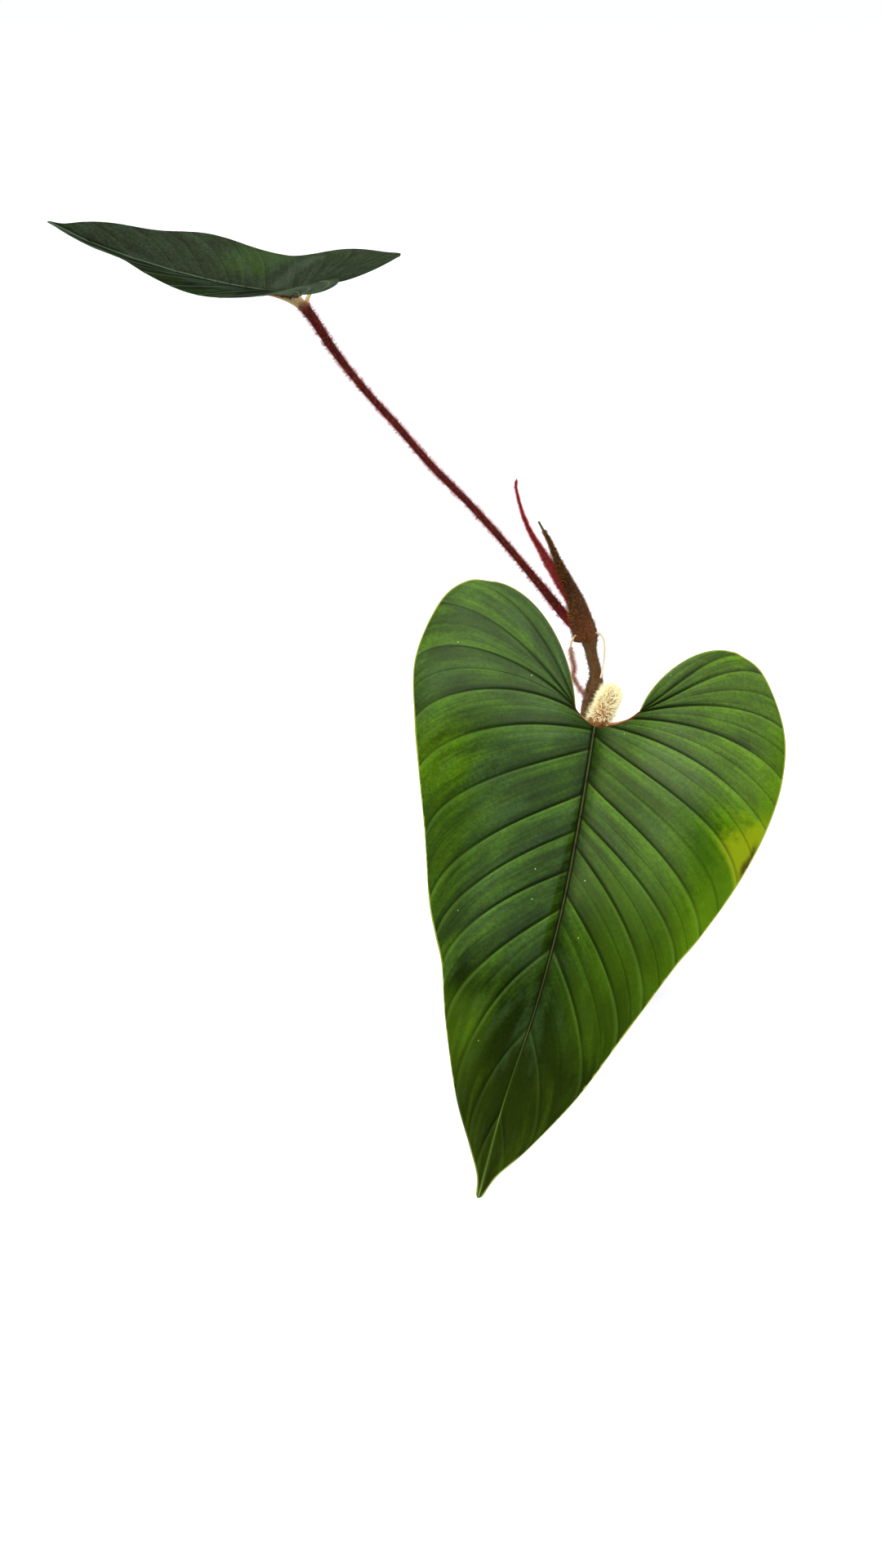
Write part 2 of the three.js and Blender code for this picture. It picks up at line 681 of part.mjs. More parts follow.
const solids = {
  pot: potSolid(),
  potting_mix: withoutNeighbours(mixSolid(), [stemRoom]),
  stem: withoutNeighbours(stemLimb(), [frontPetioleRoom, farPetioleRoom, ...rootRoom, spearRoom]),
  front_petiole: petioleSolid(FRONT_PETIOLE, FRONT_BLADE),
  front_leaf: bladeSolid(FRONT_BLADE),
  far_petiole: petioleSolid(FAR_PETIOLE, FAR_BLADE),
  far_leaf: bladeSolid(FAR_BLADE),
  new_leaf: spearLimb(),
  cataphyll: withoutNeighbours(sheathLimb(), [stemRoom, farPetioleRoom, ...rootRoom, spearRoom]),
  aerial_root_right: rootLimb(RIGHT_ROOT_POINTS),
  aerial_root_left: rootLimb(LEFT_ROOT_POINTS),
};

const FINISHES = {
  pot: { color: '#dedad0', roughness: 0.62 },
  potting_mix: { color: '#3a2a1e', roughness: 0.95 },
  stem: { color: '#5f4630', roughness: 0.8 },
  front_petiole: { color: '#d9d2a4', roughness: 0.7 },
  front_leaf: { color: '#3f6a26', roughness: 0.4 },
  far_petiole: { color: '#6a1f1c', roughness: 0.6 },
  far_leaf: { color: '#33492c', roughness: 0.5 },
  new_leaf: { color: '#962636', roughness: 0.55 },
  cataphyll: { color: '#4c3420', roughness: 0.75 },
  aerial_root_right: { color: '#c9c48c', roughness: 0.7 },
  aerial_root_left: { color: '#8a6a45', roughness: 0.75 },
};

const plant = new THREE.Group();
for (const [name, solid] of Object.entries(solids)) {
  const material = new THREE.MeshStandardMaterial({ ...FINISHES[name], metalness: 0 });
  const mesh = new THREE.Mesh(toGeometry(solid), material);
  mesh.name = name;
  plant.add(mesh);
}

export default plant;
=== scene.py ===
import math

import bmesh
import bpy
import numpy as np
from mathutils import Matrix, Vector, kdtree


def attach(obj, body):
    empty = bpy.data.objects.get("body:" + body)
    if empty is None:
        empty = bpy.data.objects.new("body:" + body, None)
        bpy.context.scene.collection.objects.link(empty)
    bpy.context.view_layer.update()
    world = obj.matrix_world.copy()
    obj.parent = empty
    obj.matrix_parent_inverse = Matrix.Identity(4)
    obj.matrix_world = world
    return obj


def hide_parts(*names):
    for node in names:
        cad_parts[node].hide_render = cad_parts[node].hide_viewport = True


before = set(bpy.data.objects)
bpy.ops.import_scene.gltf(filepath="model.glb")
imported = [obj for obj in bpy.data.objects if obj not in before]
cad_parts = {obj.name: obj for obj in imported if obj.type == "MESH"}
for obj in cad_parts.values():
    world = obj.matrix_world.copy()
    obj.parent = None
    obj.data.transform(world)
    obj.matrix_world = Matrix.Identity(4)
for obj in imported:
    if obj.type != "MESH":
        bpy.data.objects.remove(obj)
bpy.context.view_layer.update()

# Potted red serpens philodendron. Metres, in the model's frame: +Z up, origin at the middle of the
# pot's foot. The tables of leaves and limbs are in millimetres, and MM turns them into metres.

MM = 0.001
SEED = 20

# Camera
CAMERA_PLACE = (-0.0612, -0.9882, 0.4656)
CAMERA_PITCH = 20
CAMERA_LENS = 50
CAMERA_SENSOR = 36

# Studio
FLOOR_SIZE = 60
FLOOR_COLOURS = ("#dadadc", "#d6d7da")
SKY_COLOUR = "#fbfcff"
# Brightness at the horizon and at the zenith, and the height where it starts to rise
SKY = {"horizon": 1.03, "zenith": 2.7, "rises_from": 0.2}
LAMP_AIM = (0, 0, 0.2)
SOFTBOXES = [
    {"name": "front_left", "place": (-1.3, -0.7, 1.5), "size": 0.9, "power": 22},
]

# Shared tables of the two blades, in millimetres and degrees. Each row is a side vein: root on the
# spine, heading at the root, reach out from the midline, place along the blade, heading at the
# margin. The first row is the lobe's inner margin and the last one the blunt tip.
NARROW_ROWS = [
    (-11.3, 166, 56, -55, 88),
    (-11.1, 149, 68.1, -52.4, 84),
    (-10.9, 134, 77, -39.6, 82),
    (-10.3, 128, 80.4, -11, 28),
    (-8, 112, 73.6, 16, 22),
    (2, 88, 66.6, 36.5, 20),
    (10, 58, 57, 63, 8),
    (30, 53, 48.4, 89.5, 5),
    (46, 54, 42.5, 102.5, 8),
    (63, 55, 36.8, 114, 5),
    (79, 46, 30, 135, 0),
    (96, 44, 18.6, 163, -12),
    (129, 33, 8.8, 180.3, -15),
    (164, 20, 3, 191, -16),
    (199.8, 90, 1.3, 198.9, 90),
]
BROAD_ROWS = [
    (-20.7, 176, 47, -48.4, 92),
    (-20.3, 136, 53, -47.8, 105),
    (-20, 126, 64.5, -41, 78),
    (-19, 118, 77.4, -18.5, 62),
    (-14, 104, 81, 4, 48),
    (-4, 90, 78.6, 27.5, 40),
    (4, 62, 71.6, 53, 14),
    (24, 56, 61.4, 78, 12),
    (40, 56, 54.6, 91.5, 14),
    (52.7, 50, 45.6, 112.5, 6),
    (73, 46, 38.8, 128.5, 4),
    (96, 38, 28.4, 152.5, -5),
    (129, 33, 14.4, 176.5, -12),
    (164, 22, 5.2, 189.4, -20),
    (199.8, 90, 1.3, 198.9, 90),
]
# costa is the sinus edge of a half as one curve: its control point and its outer end
HALVES = [
    {"name": "narrow", "side": 1, "rows": NARROW_ROWS, "costa": ((6, -2), (9.5, -6))},
    {"name": "broad", "side": -1, "rows": BROAD_ROWS, "costa": ((12, -3), (16.7, -11.3))},
]
MIDRIB_SWAY = (0, 3, 4.8, 4, 0.6, -0.3)
BLADE_LENGTH = 200
ROOT_HANDLE = 0.36
MARGIN_HANDLE = 0.3
VALLEY_ROUNDING = 3
PUFF_SHARPNESS = 0.7
INNER_ROLL_REACH = 0.9
WAVE_TIP_FADE = 6
# Share of the margin's length over which the lobe's end droops
DROOP_REACH = 0.06
# Steps from row to row when the margin's length is measured
MARGIN_STEPS = 20

# Grid and thickness of a blade
LINES_PER_PANEL = 10
BLADE_COLUMNS = 56
BLADE_THICKNESS = 0.55
MARGIN_THICKNESS = 0.3
MARGIN_TAPER = 6
MIDRIB_DEPTH = 2.2
MIDRIB_TIP_DEPTH = 0.3
MIDRIB_WIDTH = 1.5
VEIN_RIB_DEPTH = 0.5
VEIN_RIB_WIDTH = 0.7
GROOVE_DEPTH = 0.4
GROOVE_WIDTH = 0.6
# A side vein's strength falls across the blade from VEIN_START, held at 1, down to VEIN_END
VEIN_START = 1.4
VEIN_FADE = 1.2
VEIN_END = 0.2
# The sinus edge's rib thins so many times faster than the midrib
COSTA_THINS = 3
# How far from the junction hairs and petioles are kept below the blade
JUNCTION_REACH = 45

FRONT_BLADE = {
    "junction": (3, -125, 177),
    "heading": -116.6,
    "pitch": -56.7,
    "turn": 21.7,
    "scale": 1,
    "mirror": 1,
    "arch": 12,
    "rise": {"narrow": 0.16, "broad": 0.16},
    "curl": {"narrow": 0.0019, "broad": 0.0019},
    "lobe_lift": 0,
    "roll": {"narrow": 2, "broad": 5},
    "droop": {"narrow": 0, "broad": 0},
    "puff": 1.2,
    "waves": {"narrow": [(0, 0)], "broad": [(0, 0)]},
}
FAR_BLADE = {
    "junction": (-129, 48.9, 332.5),
    "heading": 155.2,
    "pitch": 11.4,
    "turn": 6.5,
    "scale": 0.7,
    "mirror": -1,
    "arch": -10.5,
    "rise": {"narrow": 0.42, "broad": 0.43},
    "curl": {"narrow": 0.0024, "broad": 0.0031},
    "lobe_lift": 0.0019,
    "roll": {"narrow": 1, "broad": 2},
    "droop": {"narrow": 0, "broad": 3.6},
    "puff": 0.3,
    "waves": {
        "narrow": [(-1.3, 3), (1.6, -0.5), (0.1, 0.1)],
        "broad": [(-4, 2.4), (1.2, -1), (-2.7, 0.1)],
    },
}

# Limbs, in millimetres. node is the CAD node that a limb stands for, and grid its sides and steps. A
# skin's tones go from dark to light, its streaks are so many round the limb and of this scale along
# it, and each of its ends is a colour with the shares of the length where it starts and is full. The
# core of a petiole is as thick as core_share says, and its radii are those of foot, middle and top.
STEM = {
    "piece": "stem_core", "node": "stem", "slot": "stem_bark", "grid": (32, 200), "coats": ("stem_hairs",),
    "points": [
        (13.5, 1, 48), (13.5, 1, 86), (12, 1, 110), (9.2, 0, 132), (8.8, 0, 146),
        (12.2, 0, 156.7), (12, 0, 162.8), (9.9, 0, 171.2), (8.6, 0, 179), (8, 0, 187),
    ],
    "skin": {
        "name": "stem_skin", "tones": ("#33220f", "#523a20", "#6e5332"), "streaks": (26, 6),
        "relief": 0.0004, "roughness": 0.75, "ends": [(0.76, 0.86, "#604529")],
    },
}
STEM_RADII = (4.4, 2.3)
# Swollen nodes of the stem: height and how far they stand out
STEM_NODES = [(100, 1.1), (122, 1.4), (155, 1.2), (179, 1.5)]
NODE_SPREAD = 4
# Ridges along the stem: depth as a share of its radius, count and twist
STEM_RIDGES = [(0.03, 5, 9), (0.02, 9, -14)]

FRONT_PETIOLE = {
    "piece": "front_petiole_core", "node": "front_petiole", "slot": "pale_petiole", "grid": (32, 140),
    "coats": ("front_petiole_bristles", "front_petiole_tuft"),
    "points": [
        (10, -1, 121), (10.4, -10, 130), (11.4, -30, 147), (12.2, -52, 162.5), (12.4, -75, 174.5),
        (11.8, -94, 181.2), (9.8, -107, 182.6), (6.8, -116.5, 180), (3.4, -122.3, 175.5),
        (1.6, -126, 170.5),
    ],
    "radii": (3.9, 2.9, 3.9),
    "core_share": 1,
    "skin": {
        "name": "front_petiole_skin", "tones": ("#b8ac70", "#cec489", "#dad3a0"),
        "ends": [(0.74, 0.94, "#8a5c34")],
    },
}
FAR_PETIOLE = {
    "piece": "far_petiole_core", "node": "far_petiole", "slot": "red_petiole", "grid": (24, 220),
    "coats": ("far_petiole_bristles",),
    "points": [
        (7.5, 3.8, 180), (1, 5, 184.6), (-15.2, 10, 203.1), (-31.1, 16, 221), (-48.1, 21.5, 238.9),
        (-65.4, 26, 255.6), (-82.3, 30.5, 274.4), (-97.9, 35, 291), (-112, 39.5, 308.5),
        (-122.2, 43.5, 323.4), (-129.5, 48, 331),
    ],
    "radii": (2.5, 1.7, 2.4),
    "core_share": 0.95,
    "skin": {
        "name": "far_petiole_skin", "tones": ("#240806", "#380e0b", "#4c180f"),
        "ends": [(0.12, 0.02, "#6a181c"), (0.955, 0.985, "#8a7550")],
    },
}
PETIOLE_FLARE = 0.25

SPEAR = {
    "piece": "new_leaf_spear", "node": "new_leaf", "slot": "red_spear", "grid": (40, 120),
    "coats": ("new_leaf_hairs",),
    "points": [
        (3, 1.7, 192.5), (0.1, 1.8, 198.5), (-4.1, 1.9, 204.5), (-7.9, 2.1, 210.5), (-11.7, 2.3, 216.2),
        (-15.2, 2.5, 222), (-18.9, 2.6, 228), (-22.9, 2.8, 236.9), (-25.6, 3, 245.8),
        (-26.6, 3.2, 250.5), (-26.3, 3.4, 254.5),
    ],
    "skin": {
        "name": "spear_skin", "tones": ("#4a1410", "#65231e", "#7a2f28"), "streaks": (14, 5),
        "ends": [(0.35, 0, "#4a1c14"), (0.9, 1, "#7c2626")],
    },
}
SPEAR_RADII = (3.3, 0.4)
# The core's share of the hairy spear's thickness at its foot and tip, and where it turns
SPEAR_CORE_SHARES = (0.95, 0.66)
SPEAR_CORE_TURN = 0.35
SPEAR_CORE_TURN_LENGTH = 0.2
SPEAR_TURNS = 0.8
SPEAR_LAP = 0.16

SHEATH = {
    "piece": "cataphyll_sheath", "node": "cataphyll", "slot": "brown_sheath", "grid": (44, 130),
    "coats": ("cataphyll_hairs",),
    "points": [
        (7, 0.4, 178.7), (5.8, 0.4, 183.5), (4.2, 0.4, 189.5), (2.4, 0.4, 195.5), (-0.8, 0.4, 203.3),
        (-4.5, 0.4, 211.2), (-8, 0.4, 219), (-10.8, 0.4, 225.6), (-13.6, 0.3, 230.6), (-16, 0.2, 235),
    ],
    "skin": {
        "name": "sheath_skin", "tones": ("#1a0d06", "#341f10", "#52391e"), "streaks": (22, 4),
        "relief": 0.0004, "roughness": 0.7, "ends": [(0.4, 0.05, "#58331a"), (0.85, 1, "#55513c")],
    },
}
SHEATH_RADII = (5.7, 0.6)
SHEATH_TAPER = 0.8
SHEATH_CORE_SHARE = 0.97
SHEATH_RIBS = 11
SHEATH_RIB_DEPTH = 0.05
SHEATH_FLATNESS = 0.06
SHEATH_FLAT_ANGLE = 0.6

ROOTS = [
    {
        "piece": "right_root", "node": "aerial_root_right", "slot": "pale_root", "grid": (16, 90),
        "coats": (),
        "points": [
            (9.6, -1.2, 180.3), (12.8, -2.2, 182.3), (14.9, -2.4, 180.2), (15.9, -2.3, 175.6),
            (15.8, -2.3, 170.6), (15.3, -2.8, 165.4), (14.3, -3.3, 160.6),
        ],
        "skin": {"name": "right_root_skin", "tones": ("#c4ab84", "#dcc8a6", "#eadcc2")},
    },
    {
        "piece": "left_root", "node": "aerial_root_left", "slot": "brown_root", "grid": (16, 120),
        "coats": ("left_root_hairs",),
        "points": [
            (7.2, -1.4, 180.2), (3, -2.2, 181.3), (0.4, -2.4, 178.6), (0, -2.3, 173.6), (1.1, -2.2, 168.4),
            (1.9, -2, 164.6), (1.2, -2, 161.2), (2.9, -2, 157.7), (5.1, -1.8, 154), (7.6, -1.2, 150.6),
        ],
        "skin": {
            "name": "left_root_skin", "tones": ("#b0926a", "#cab088", "#dcc8a4"),
            "ends": [(0.3, 0.55, "#8a5630")],
        },
    },
]
ROOT_RADIUS = 0.6
ROOT_TAPER = 0.7

# Pot and potting mix, in millimetres
POT_HEIGHT = 95
POT_FOOT_RADIUS = 39
POT_TOP_RADIUS = 51
POT_WALL = 4
POT_FLOOR = 6
POT_EDGE = 1.5
RIM_HEIGHT = 14
RIM_OVERHANG = 2.5
POT_SEGMENTS = 160
DRAIN_COUNT = 5
DRAIN_RADIUS = 4.5
DRAIN_RING_RADIUS = 24
DRAIN_SEGMENTS = 32
MIX_TOP = 85
MIX_GRID = (70, 180)
MIX_CENTRE = 0.4
MIX_LUMP = 1.6
# Waves that make the lumps: share, turns along x and y, and shift
MIX_LUMP_WAVES = [(1, 0.31, 0.27, 1), (0.7, -0.22, 0.45, 2), (0.6, 0.8, -0.7, 0)]
MIX_GRAIN = 0.35
MIX_GRAIN_WAVES = ((1.9, 0.4), (-0.6, 1.7))
MIX_EDGE_FADE = 3
WALL_GAP = 0.3


# Numbers and curves

def mix(low, high, amount):
    return low + (high - low) * amount


def smooth(amount):
    x = np.clip(amount, 0, 1)
    return x * x * (3 - 2 * x)


def linear(code):
    """A #rrggbb colour as linear RGBA."""
    parts = [int(code[i:i + 2], 16) / 255 for i in (1, 3, 5)]
    light = [c / 12.92 if c <= 0.04045 else ((c + 0.055) / 1.055) ** 2.4 for c in parts]
    return (*light, 1)


def cubic(start, end, leave, arrive, t):
    """Points at shares t of a curve from start to end, with the slopes leave and arrive there."""
    rise = end - start
    bend = leave + arrive - 2 * rise
    return start + t * (leave + t * (3 * rise - 2 * leave - arrive + t * bend))


def spline_rows(rows, places):
    """Rows of numbers read between the rows, along a smooth curve."""
    rows = np.array(rows, float).reshape(len(rows), -1)
    padded = np.vstack([2 * rows[0] - rows[1], rows, 2 * rows[-1] - rows[-2]])
    i = np.clip(np.floor(places).astype(int), 0, len(rows) - 2)
    f = (places - i)[:, None]
    before, here, after, beyond = (padded[i + k] for k in range(4))
    return cubic(here, after, (after - before) / 2, (beyond - here) / 2, f)


def even_curve(points, count):
    """Evenly spaced points on a centripetal curve through the given ones, and their directions."""
    knots = np.array(points, float)
    knots = np.vstack([2 * knots[0] - knots[1], knots, 2 * knots[-1] - knots[-2]])
    t = np.linspace(0, 1, 30, endpoint=False)[:, None]
    dense = []
    for a, b, c, d in zip(knots, knots[1:], knots[2:], knots[3:]):
        before, here, after = (math.sqrt(np.linalg.norm(q - p)) for p, q in ((a, b), (b, c), (c, d)))
        leave = ((b - a) / before - (c - a) / (before + here) + (c - b) / here) * here
        arrive = ((c - b) / here - (d - b) / (here + after) + (d - c) / after) * here
        dense.append(cubic(b, c, leave, arrive, t))
    dense = np.vstack([*dense, knots[-2]])
    walked = np.concatenate([[0], np.cumsum(np.linalg.norm(np.diff(dense, axis=0), axis=1))])
    steps = np.linspace(0, walked[-1], count)
    path = np.stack([np.interp(steps, walked, dense[:, k]) for k in range(3)], -1)
    tangents = np.gradient(path, axis=0)
    return path, tangents / np.linalg.norm(tangents, axis=1)[:, None]


def steady_frames(tangents):
    """Two side directions for each direction of a path, which turn as little as they can."""
    sides = []
    side = np.cross(tangents[0], (0.3, 1, 0.2))
    for tangent in tangents:
        side = side - tangent * (side @ tangent)
        side = side / np.linalg.norm(side)
        sides.append(side)
    sides = np.array(sides)
    return sides, np.cross(tangents, sides)


# Meshes

def make_mesh(name, points, faces, uvs, smooth_angle=50):
    """One object from points in metres. uvs maps a UV map's name to a pair of numbers per point."""
    mesh = bpy.data.meshes.new(name)
    mesh.from_pydata([tuple(p) for p in points], [], [tuple(f) for f in faces])
    corners = np.empty(len(mesh.loops), int)
    mesh.loops.foreach_get("vertex_index", corners)
    for key, values in uvs.items():
        layer = mesh.uv_layers.new(name=key)
        layer.data.foreach_set("uv", np.asarray(values, np.float32)[corners].ravel())
    mesh.shade_smooth()
    mesh.set_sharp_from_angle(angle=math.radians(smooth_angle))
    piece = bpy.data.objects.new(name, mesh)
    bpy.context.collection.objects.link(piece)
    return piece


def weld(piece, distance=1e-7):
    """Points of a piece that lie on each other become one."""
    work = bmesh.new()
    work.from_mesh(piece.data)
    bmesh.ops.remove_doubles(work, verts=work.verts, dist=distance)
    bmesh.ops.recalc_face_normals(work, faces=work.faces)
    work.to_mesh(piece.data)
    work.free()


def grid_faces(rows, columns, first=0, closed=False, flip=False):
    """Quads between the rows and columns of a grid of points, closed round the columns if asked."""
    reach = columns if closed else columns - 1
    i, k = np.meshgrid(np.arange(rows - 1), np.arange(reach), indexing="ij")
    after = (k + 1) % columns
    corners = ((i, k), (i, after), (i + 1, after), (i + 1, k))
    quads = np.stack([row * columns + column for row, column in corners], -1)
    quads = quads.reshape(-1, 4) + first
    return quads[:, ::-1] if flip else quads


def tube_faces(rings, sides):
    """Faces of a closed tube. The middles of its two ends come after the points of its rings."""
    faces = [tuple(f) for f in grid_faces(rings, sides, closed=True)]
    size = rings * sides
    for k in range(sides):
        after = (k + 1) % sides
        faces.append((size, after, k))
        faces.append((size + 1, size - sides + k, size - sides + after))
    return faces


# How far a limb's round ends stand out, as shares of its radius there
FOOT_CAP = 0.3
END_CAP = 0.6


def limb(name, points, radius_at, sides, steps, shape_at=None):
    """A bent limb with round ends. radius_at takes the share along it, shape_at also the angle."""
    path, tangents = even_curve(points, steps)
    first, second = steady_frames(tangents)
    u = np.linspace(0, 1, steps)
    angles = np.linspace(0, 2 * math.pi, sides, endpoint=False)
    radius = np.repeat(radius_at(u)[:, None], sides, 1)
    if shape_at:
        radius = radius * shape_at(u[:, None], angles[None, :])
    ring = (
        path[:, None]
        + first[:, None] * (radius * np.cos(angles))[..., None]
        + second[:, None] * (radius * np.sin(angles))[..., None]
    )
    foot = path[0] - tangents[0] * radius[0, 0] * FOOT_CAP
    end = path[-1] + tangents[-1] * radius[-1, 0] * END_CAP
    verts = np.vstack([ring.reshape(-1, 3), foot, end]) * MM
    around = np.tile(angles / (2 * math.pi), steps)
    along = np.repeat(u, sides)
    uv = np.vstack([np.stack([around, along], -1), [(0, 0), (0, 1)]])
    return make_mesh(name, verts, tube_faces(steps, sides), {"limb": uv})


HAIR_RINGS = 3
HAIR_SIDES = 3
HAIR_TAPER = 0.6
HAIR_LENGTHS = (0.55, 1.15)
PATH_STEPS = 400


def hairs(name, roots, directions, lengths, radius, bend, rng):
    """Tapered, slightly curved hairs as one mesh, in millimetres."""
    count = len(roots)
    helper = np.where(np.abs(directions[:, 2:]) < 0.8, (0, 0, 1), (1, 0, 0))
    side = np.cross(directions, helper)
    side = side / np.linalg.norm(side, axis=1)[:, None]
    other = np.cross(directions, side)
    turn = rng.uniform(0, 2 * math.pi, count)[:, None]
    drift = (side * np.cos(turn) + other * np.sin(turn)) * bend
    points = []
    shares = []
    for ring in range(HAIR_RINGS):
        s = ring / HAIR_RINGS
        centre = roots + (directions * s + drift * s * s) * lengths[:, None]
        for k in range(HAIR_SIDES):
            angle = 2 * math.pi * k / HAIR_SIDES
            outward = side * math.cos(angle) + other * math.sin(angle)
            points.append(centre + outward * radius * (1 - HAIR_TAPER * s))
            shares.append(s)
    points.append(roots + (directions + drift) * lengths[:, None])
    shares.append(1)
    size = len(points)
    verts = np.stack(points, 1).reshape(-1, 3) * MM
    pattern = [tuple(f) for f in grid_faces(HAIR_RINGS, HAIR_SIDES, closed=True)]
    top = (HAIR_RINGS - 1) * HAIR_SIDES
    pattern += [(top + k, top + (k + 1) % HAIR_SIDES, size - 1) for k in range(HAIR_SIDES)]
    faces = [tuple(i + n * size for i in face) for n in range(count) for face in pattern]
    chance = np.repeat(rng.uniform(0, 1, count), size)
    uv = np.stack([chance, np.tile(shares, count)], -1)
    return make_mesh(name, verts, faces, {"hair": uv}, smooth_angle=180)


def limb_hairs(name, points, radius_at, coat, rng, excess=None):
    """Hairs all round a limb between two shares of its length, without those that pierce a blade."""
    path, tangents = even_curve(points, PATH_STEPS)
    first, second = steady_frames(tangents)
    count, lean = coat["count"], coat["lean"]
    u = rng.uniform(*coat["span"], count)
    i = (u * (PATH_STEPS - 1)).astype(int)
    angle = rng.uniform(0, 2 * math.pi, count)[:, None]
    outward = first[i] * np.cos(angle) + second[i] * np.sin(angle)
    across = np.cross(tangents[i], outward)
    spread = rng.normal(0, lean, (count, 2))
    direction = outward + tangents[i] * (lean + spread[:, :1]) + across * spread[:, 1:]
    direction = direction / np.linalg.norm(direction, axis=1)[:, None]
    roots = path[i] + outward * (radius_at(u)[:, None] - 0.1)
    lengths = mix(*coat["length"], u) * rng.uniform(*HAIR_LENGTHS, count)
    keep = np.ones(count, bool)
    if excess:
        keep = (excess(roots) == 0) & (excess(roots + direction * lengths[:, None]) == 0)
    return hairs(name, roots[keep], direction[keep], lengths[keep], coat["thin"], coat["bend"], rng)


# Blade

def midrib_x(along):
    places = np.asarray(along, float) / BLADE_LENGTH * (len(MIDRIB_SWAY) - 1)
    return -spline_rows(MIDRIB_SWAY, places.ravel())[:, 0].reshape(places.shape)


def spine_points(half, root):
    """The sinus edge below 0 and the midrib above."""
    control, end = (np.array((half["side"] * out, along)) for out, along in half["costa"])
    t = np.clip(root / half["rows"][0][0], 0, None)[:, None]
    costa = 2 * t * (1 - t) * control + t * t * end
    return np.where(root[:, None] < 0, costa, np.stack([midrib_x(root), root], -1))


def vein_grid(half, places, roots, across):
    """Points of the side veins at these places, for each share of the way to the margin."""
    _, heading, out, along, margin_heading = spline_rows(half["rows"], places).T
    start = spine_points(half, roots)
    end = np.stack([half["side"] * out, along], -1)
    reach = np.linalg.norm(end - start, axis=-1)[:, None]

    def toward(degrees):
        angle = np.radians(degrees)
        return np.stack([half["side"] * np.sin(angle), np.cos(angle)], -1)

    first = start + toward(heading) * reach * ROOT_HANDLE
    second = end - toward(margin_heading) * reach * MARGIN_HANDLE
    t = across[None, :, None]
    s = 1 - t
    weights = (s ** 3, 3 * t * s ** 2, 3 * t * t * s, t ** 3)
    return sum(point[:, None] * weight for point, weight in zip((start, first, second, end), weights))


def margin_share(half, places):
    """Share of the margin's length, from the lobe's inner corner to the tip, at these places."""
    steps = np.linspace(0, len(half["rows"]) - 1, MARGIN_STEPS * (len(half["rows"]) - 1) + 1)
    ends = spline_rows(half["rows"], steps)[:, 2:4]
    walked = np.concatenate([[0], np.cumsum(np.linalg.norm(np.diff(ends, axis=0), axis=1))])
    return np.interp(places, steps, walked / walked[-1])


def blade_height(blade, half, places, across, points):
    """Height of the upper face over the blade's plane."""
    name = half["name"]
    v = places[:, None]
    t = across[None, :]
    x, y = points[..., 0], points[..., 1]
    from_midrib = x - np.where(y > 0, midrib_x(y), 0)
    valley = np.hypot(from_midrib, VALLEY_ROUNDING) - VALLEY_ROUNDING
    along = y / BLADE_LENGTH
    bow = 4 * blade["arch"] * along * (1 - along) + blade["lobe_lift"] * np.minimum(y, 0) ** 2
    fold = blade["rise"][name] * valley - blade["curl"][name] * from_midrib ** 2
    swell = np.sin(math.pi * np.sqrt(t))
    roll = blade["roll"][name] * np.maximum(0, 1 - v / INNER_ROLL_REACH) ** 2 * swell
    puff = blade["puff"] * np.abs(np.sin(math.pi * v)) ** PUFF_SHARPNESS * swell
    share = margin_share(half, places)[:, None]
    wave = 0
    for i, (sine, cosine) in enumerate(blade["waves"][name], 1):
        angle = 2 * math.pi * i * share
        wave = wave + sine * np.sin(angle) + cosine * np.cos(angle)
    wave = wave * (1 - share ** WAVE_TIP_FADE)
    droop = blade["droop"][name] * np.exp(-(share / DROOP_REACH) ** 2)
    return bow + fold - roll + puff + (wave - droop) * t * t


def blade_lines(half):
    """Places and roots of the lines across a half. Both halves meet the midrib at the same roots."""
    tables = [np.array(h["rows"], float) for h in HALVES]
    stations = []
    for h, rows in zip(HALVES, tables):
        places = np.arange(0, len(rows) - 1 + 1e-9, 1 / LINES_PER_PANEL)
        roots = spline_rows(h["rows"], places)[:, 0]
        stations.append(roots[roots > 0])
    stations = np.unique(np.round(np.concatenate([[0], *stations]), 2))
    dense = np.linspace(0, len(half["rows"]) - 1, 8000)
    dense_roots = np.maximum.accumulate(spline_rows(half["rows"], dense)[:, 0])
    junction = np.interp(0, dense_roots, dense)
    lobe = np.linspace(0, junction, int(junction * LINES_PER_PANEL * 2), endpoint=False)
    places = np.concatenate([lobe, np.interp(stations, dense_roots, dense)])
    roots = np.concatenate([spline_rows(half["rows"], lobe)[:, 0], stations])
    return places, np.where(np.arange(len(roots)) < len(lobe), np.minimum(roots, 0), roots)


def vein_distance(half, places, across, points):
    """Distance in millimetres from each point to the nearest side vein."""
    nearest = np.clip(np.round(places), 1, len(half["rows"]) - 2)
    roots = spline_rows(half["rows"], nearest)[:, 0]
    veins = vein_grid(half, nearest, roots, across)
    ahead = vein_grid(half, nearest, roots, across + 0.01) - veins
    ahead = ahead / np.linalg.norm(ahead, axis=-1)[..., None]
    offset = points - veins
    return np.abs(offset[..., 0] * ahead[..., 1] - offset[..., 1] * ahead[..., 0])


def blade_matrix(blade):
    heading, pitch, turn = (math.radians(blade[key]) for key in ("heading", "pitch", "turn"))
    level = math.cos(pitch)
    tip = np.array([math.cos(heading) * level, math.sin(heading) * level, math.sin(pitch)])
    up = np.array([0, 0, 1]) - tip * tip[2]
    up = up / np.linalg.norm(up)
    across = np.cross(tip, up) * math.cos(turn) + up * math.sin(turn)
    return np.stack([across, tip, np.cross(across, tip)])


def place_blade(blade, points, height):
    """From the blade's plane to the plant, in metres. height is in the plant's millimetres."""
    scale = blade["scale"]
    local = np.stack([points[..., 0] * blade["mirror"] * scale, points[..., 1] * scale, height], -1)
    return (local @ blade_matrix(blade) + np.array(blade["junction"])) * MM


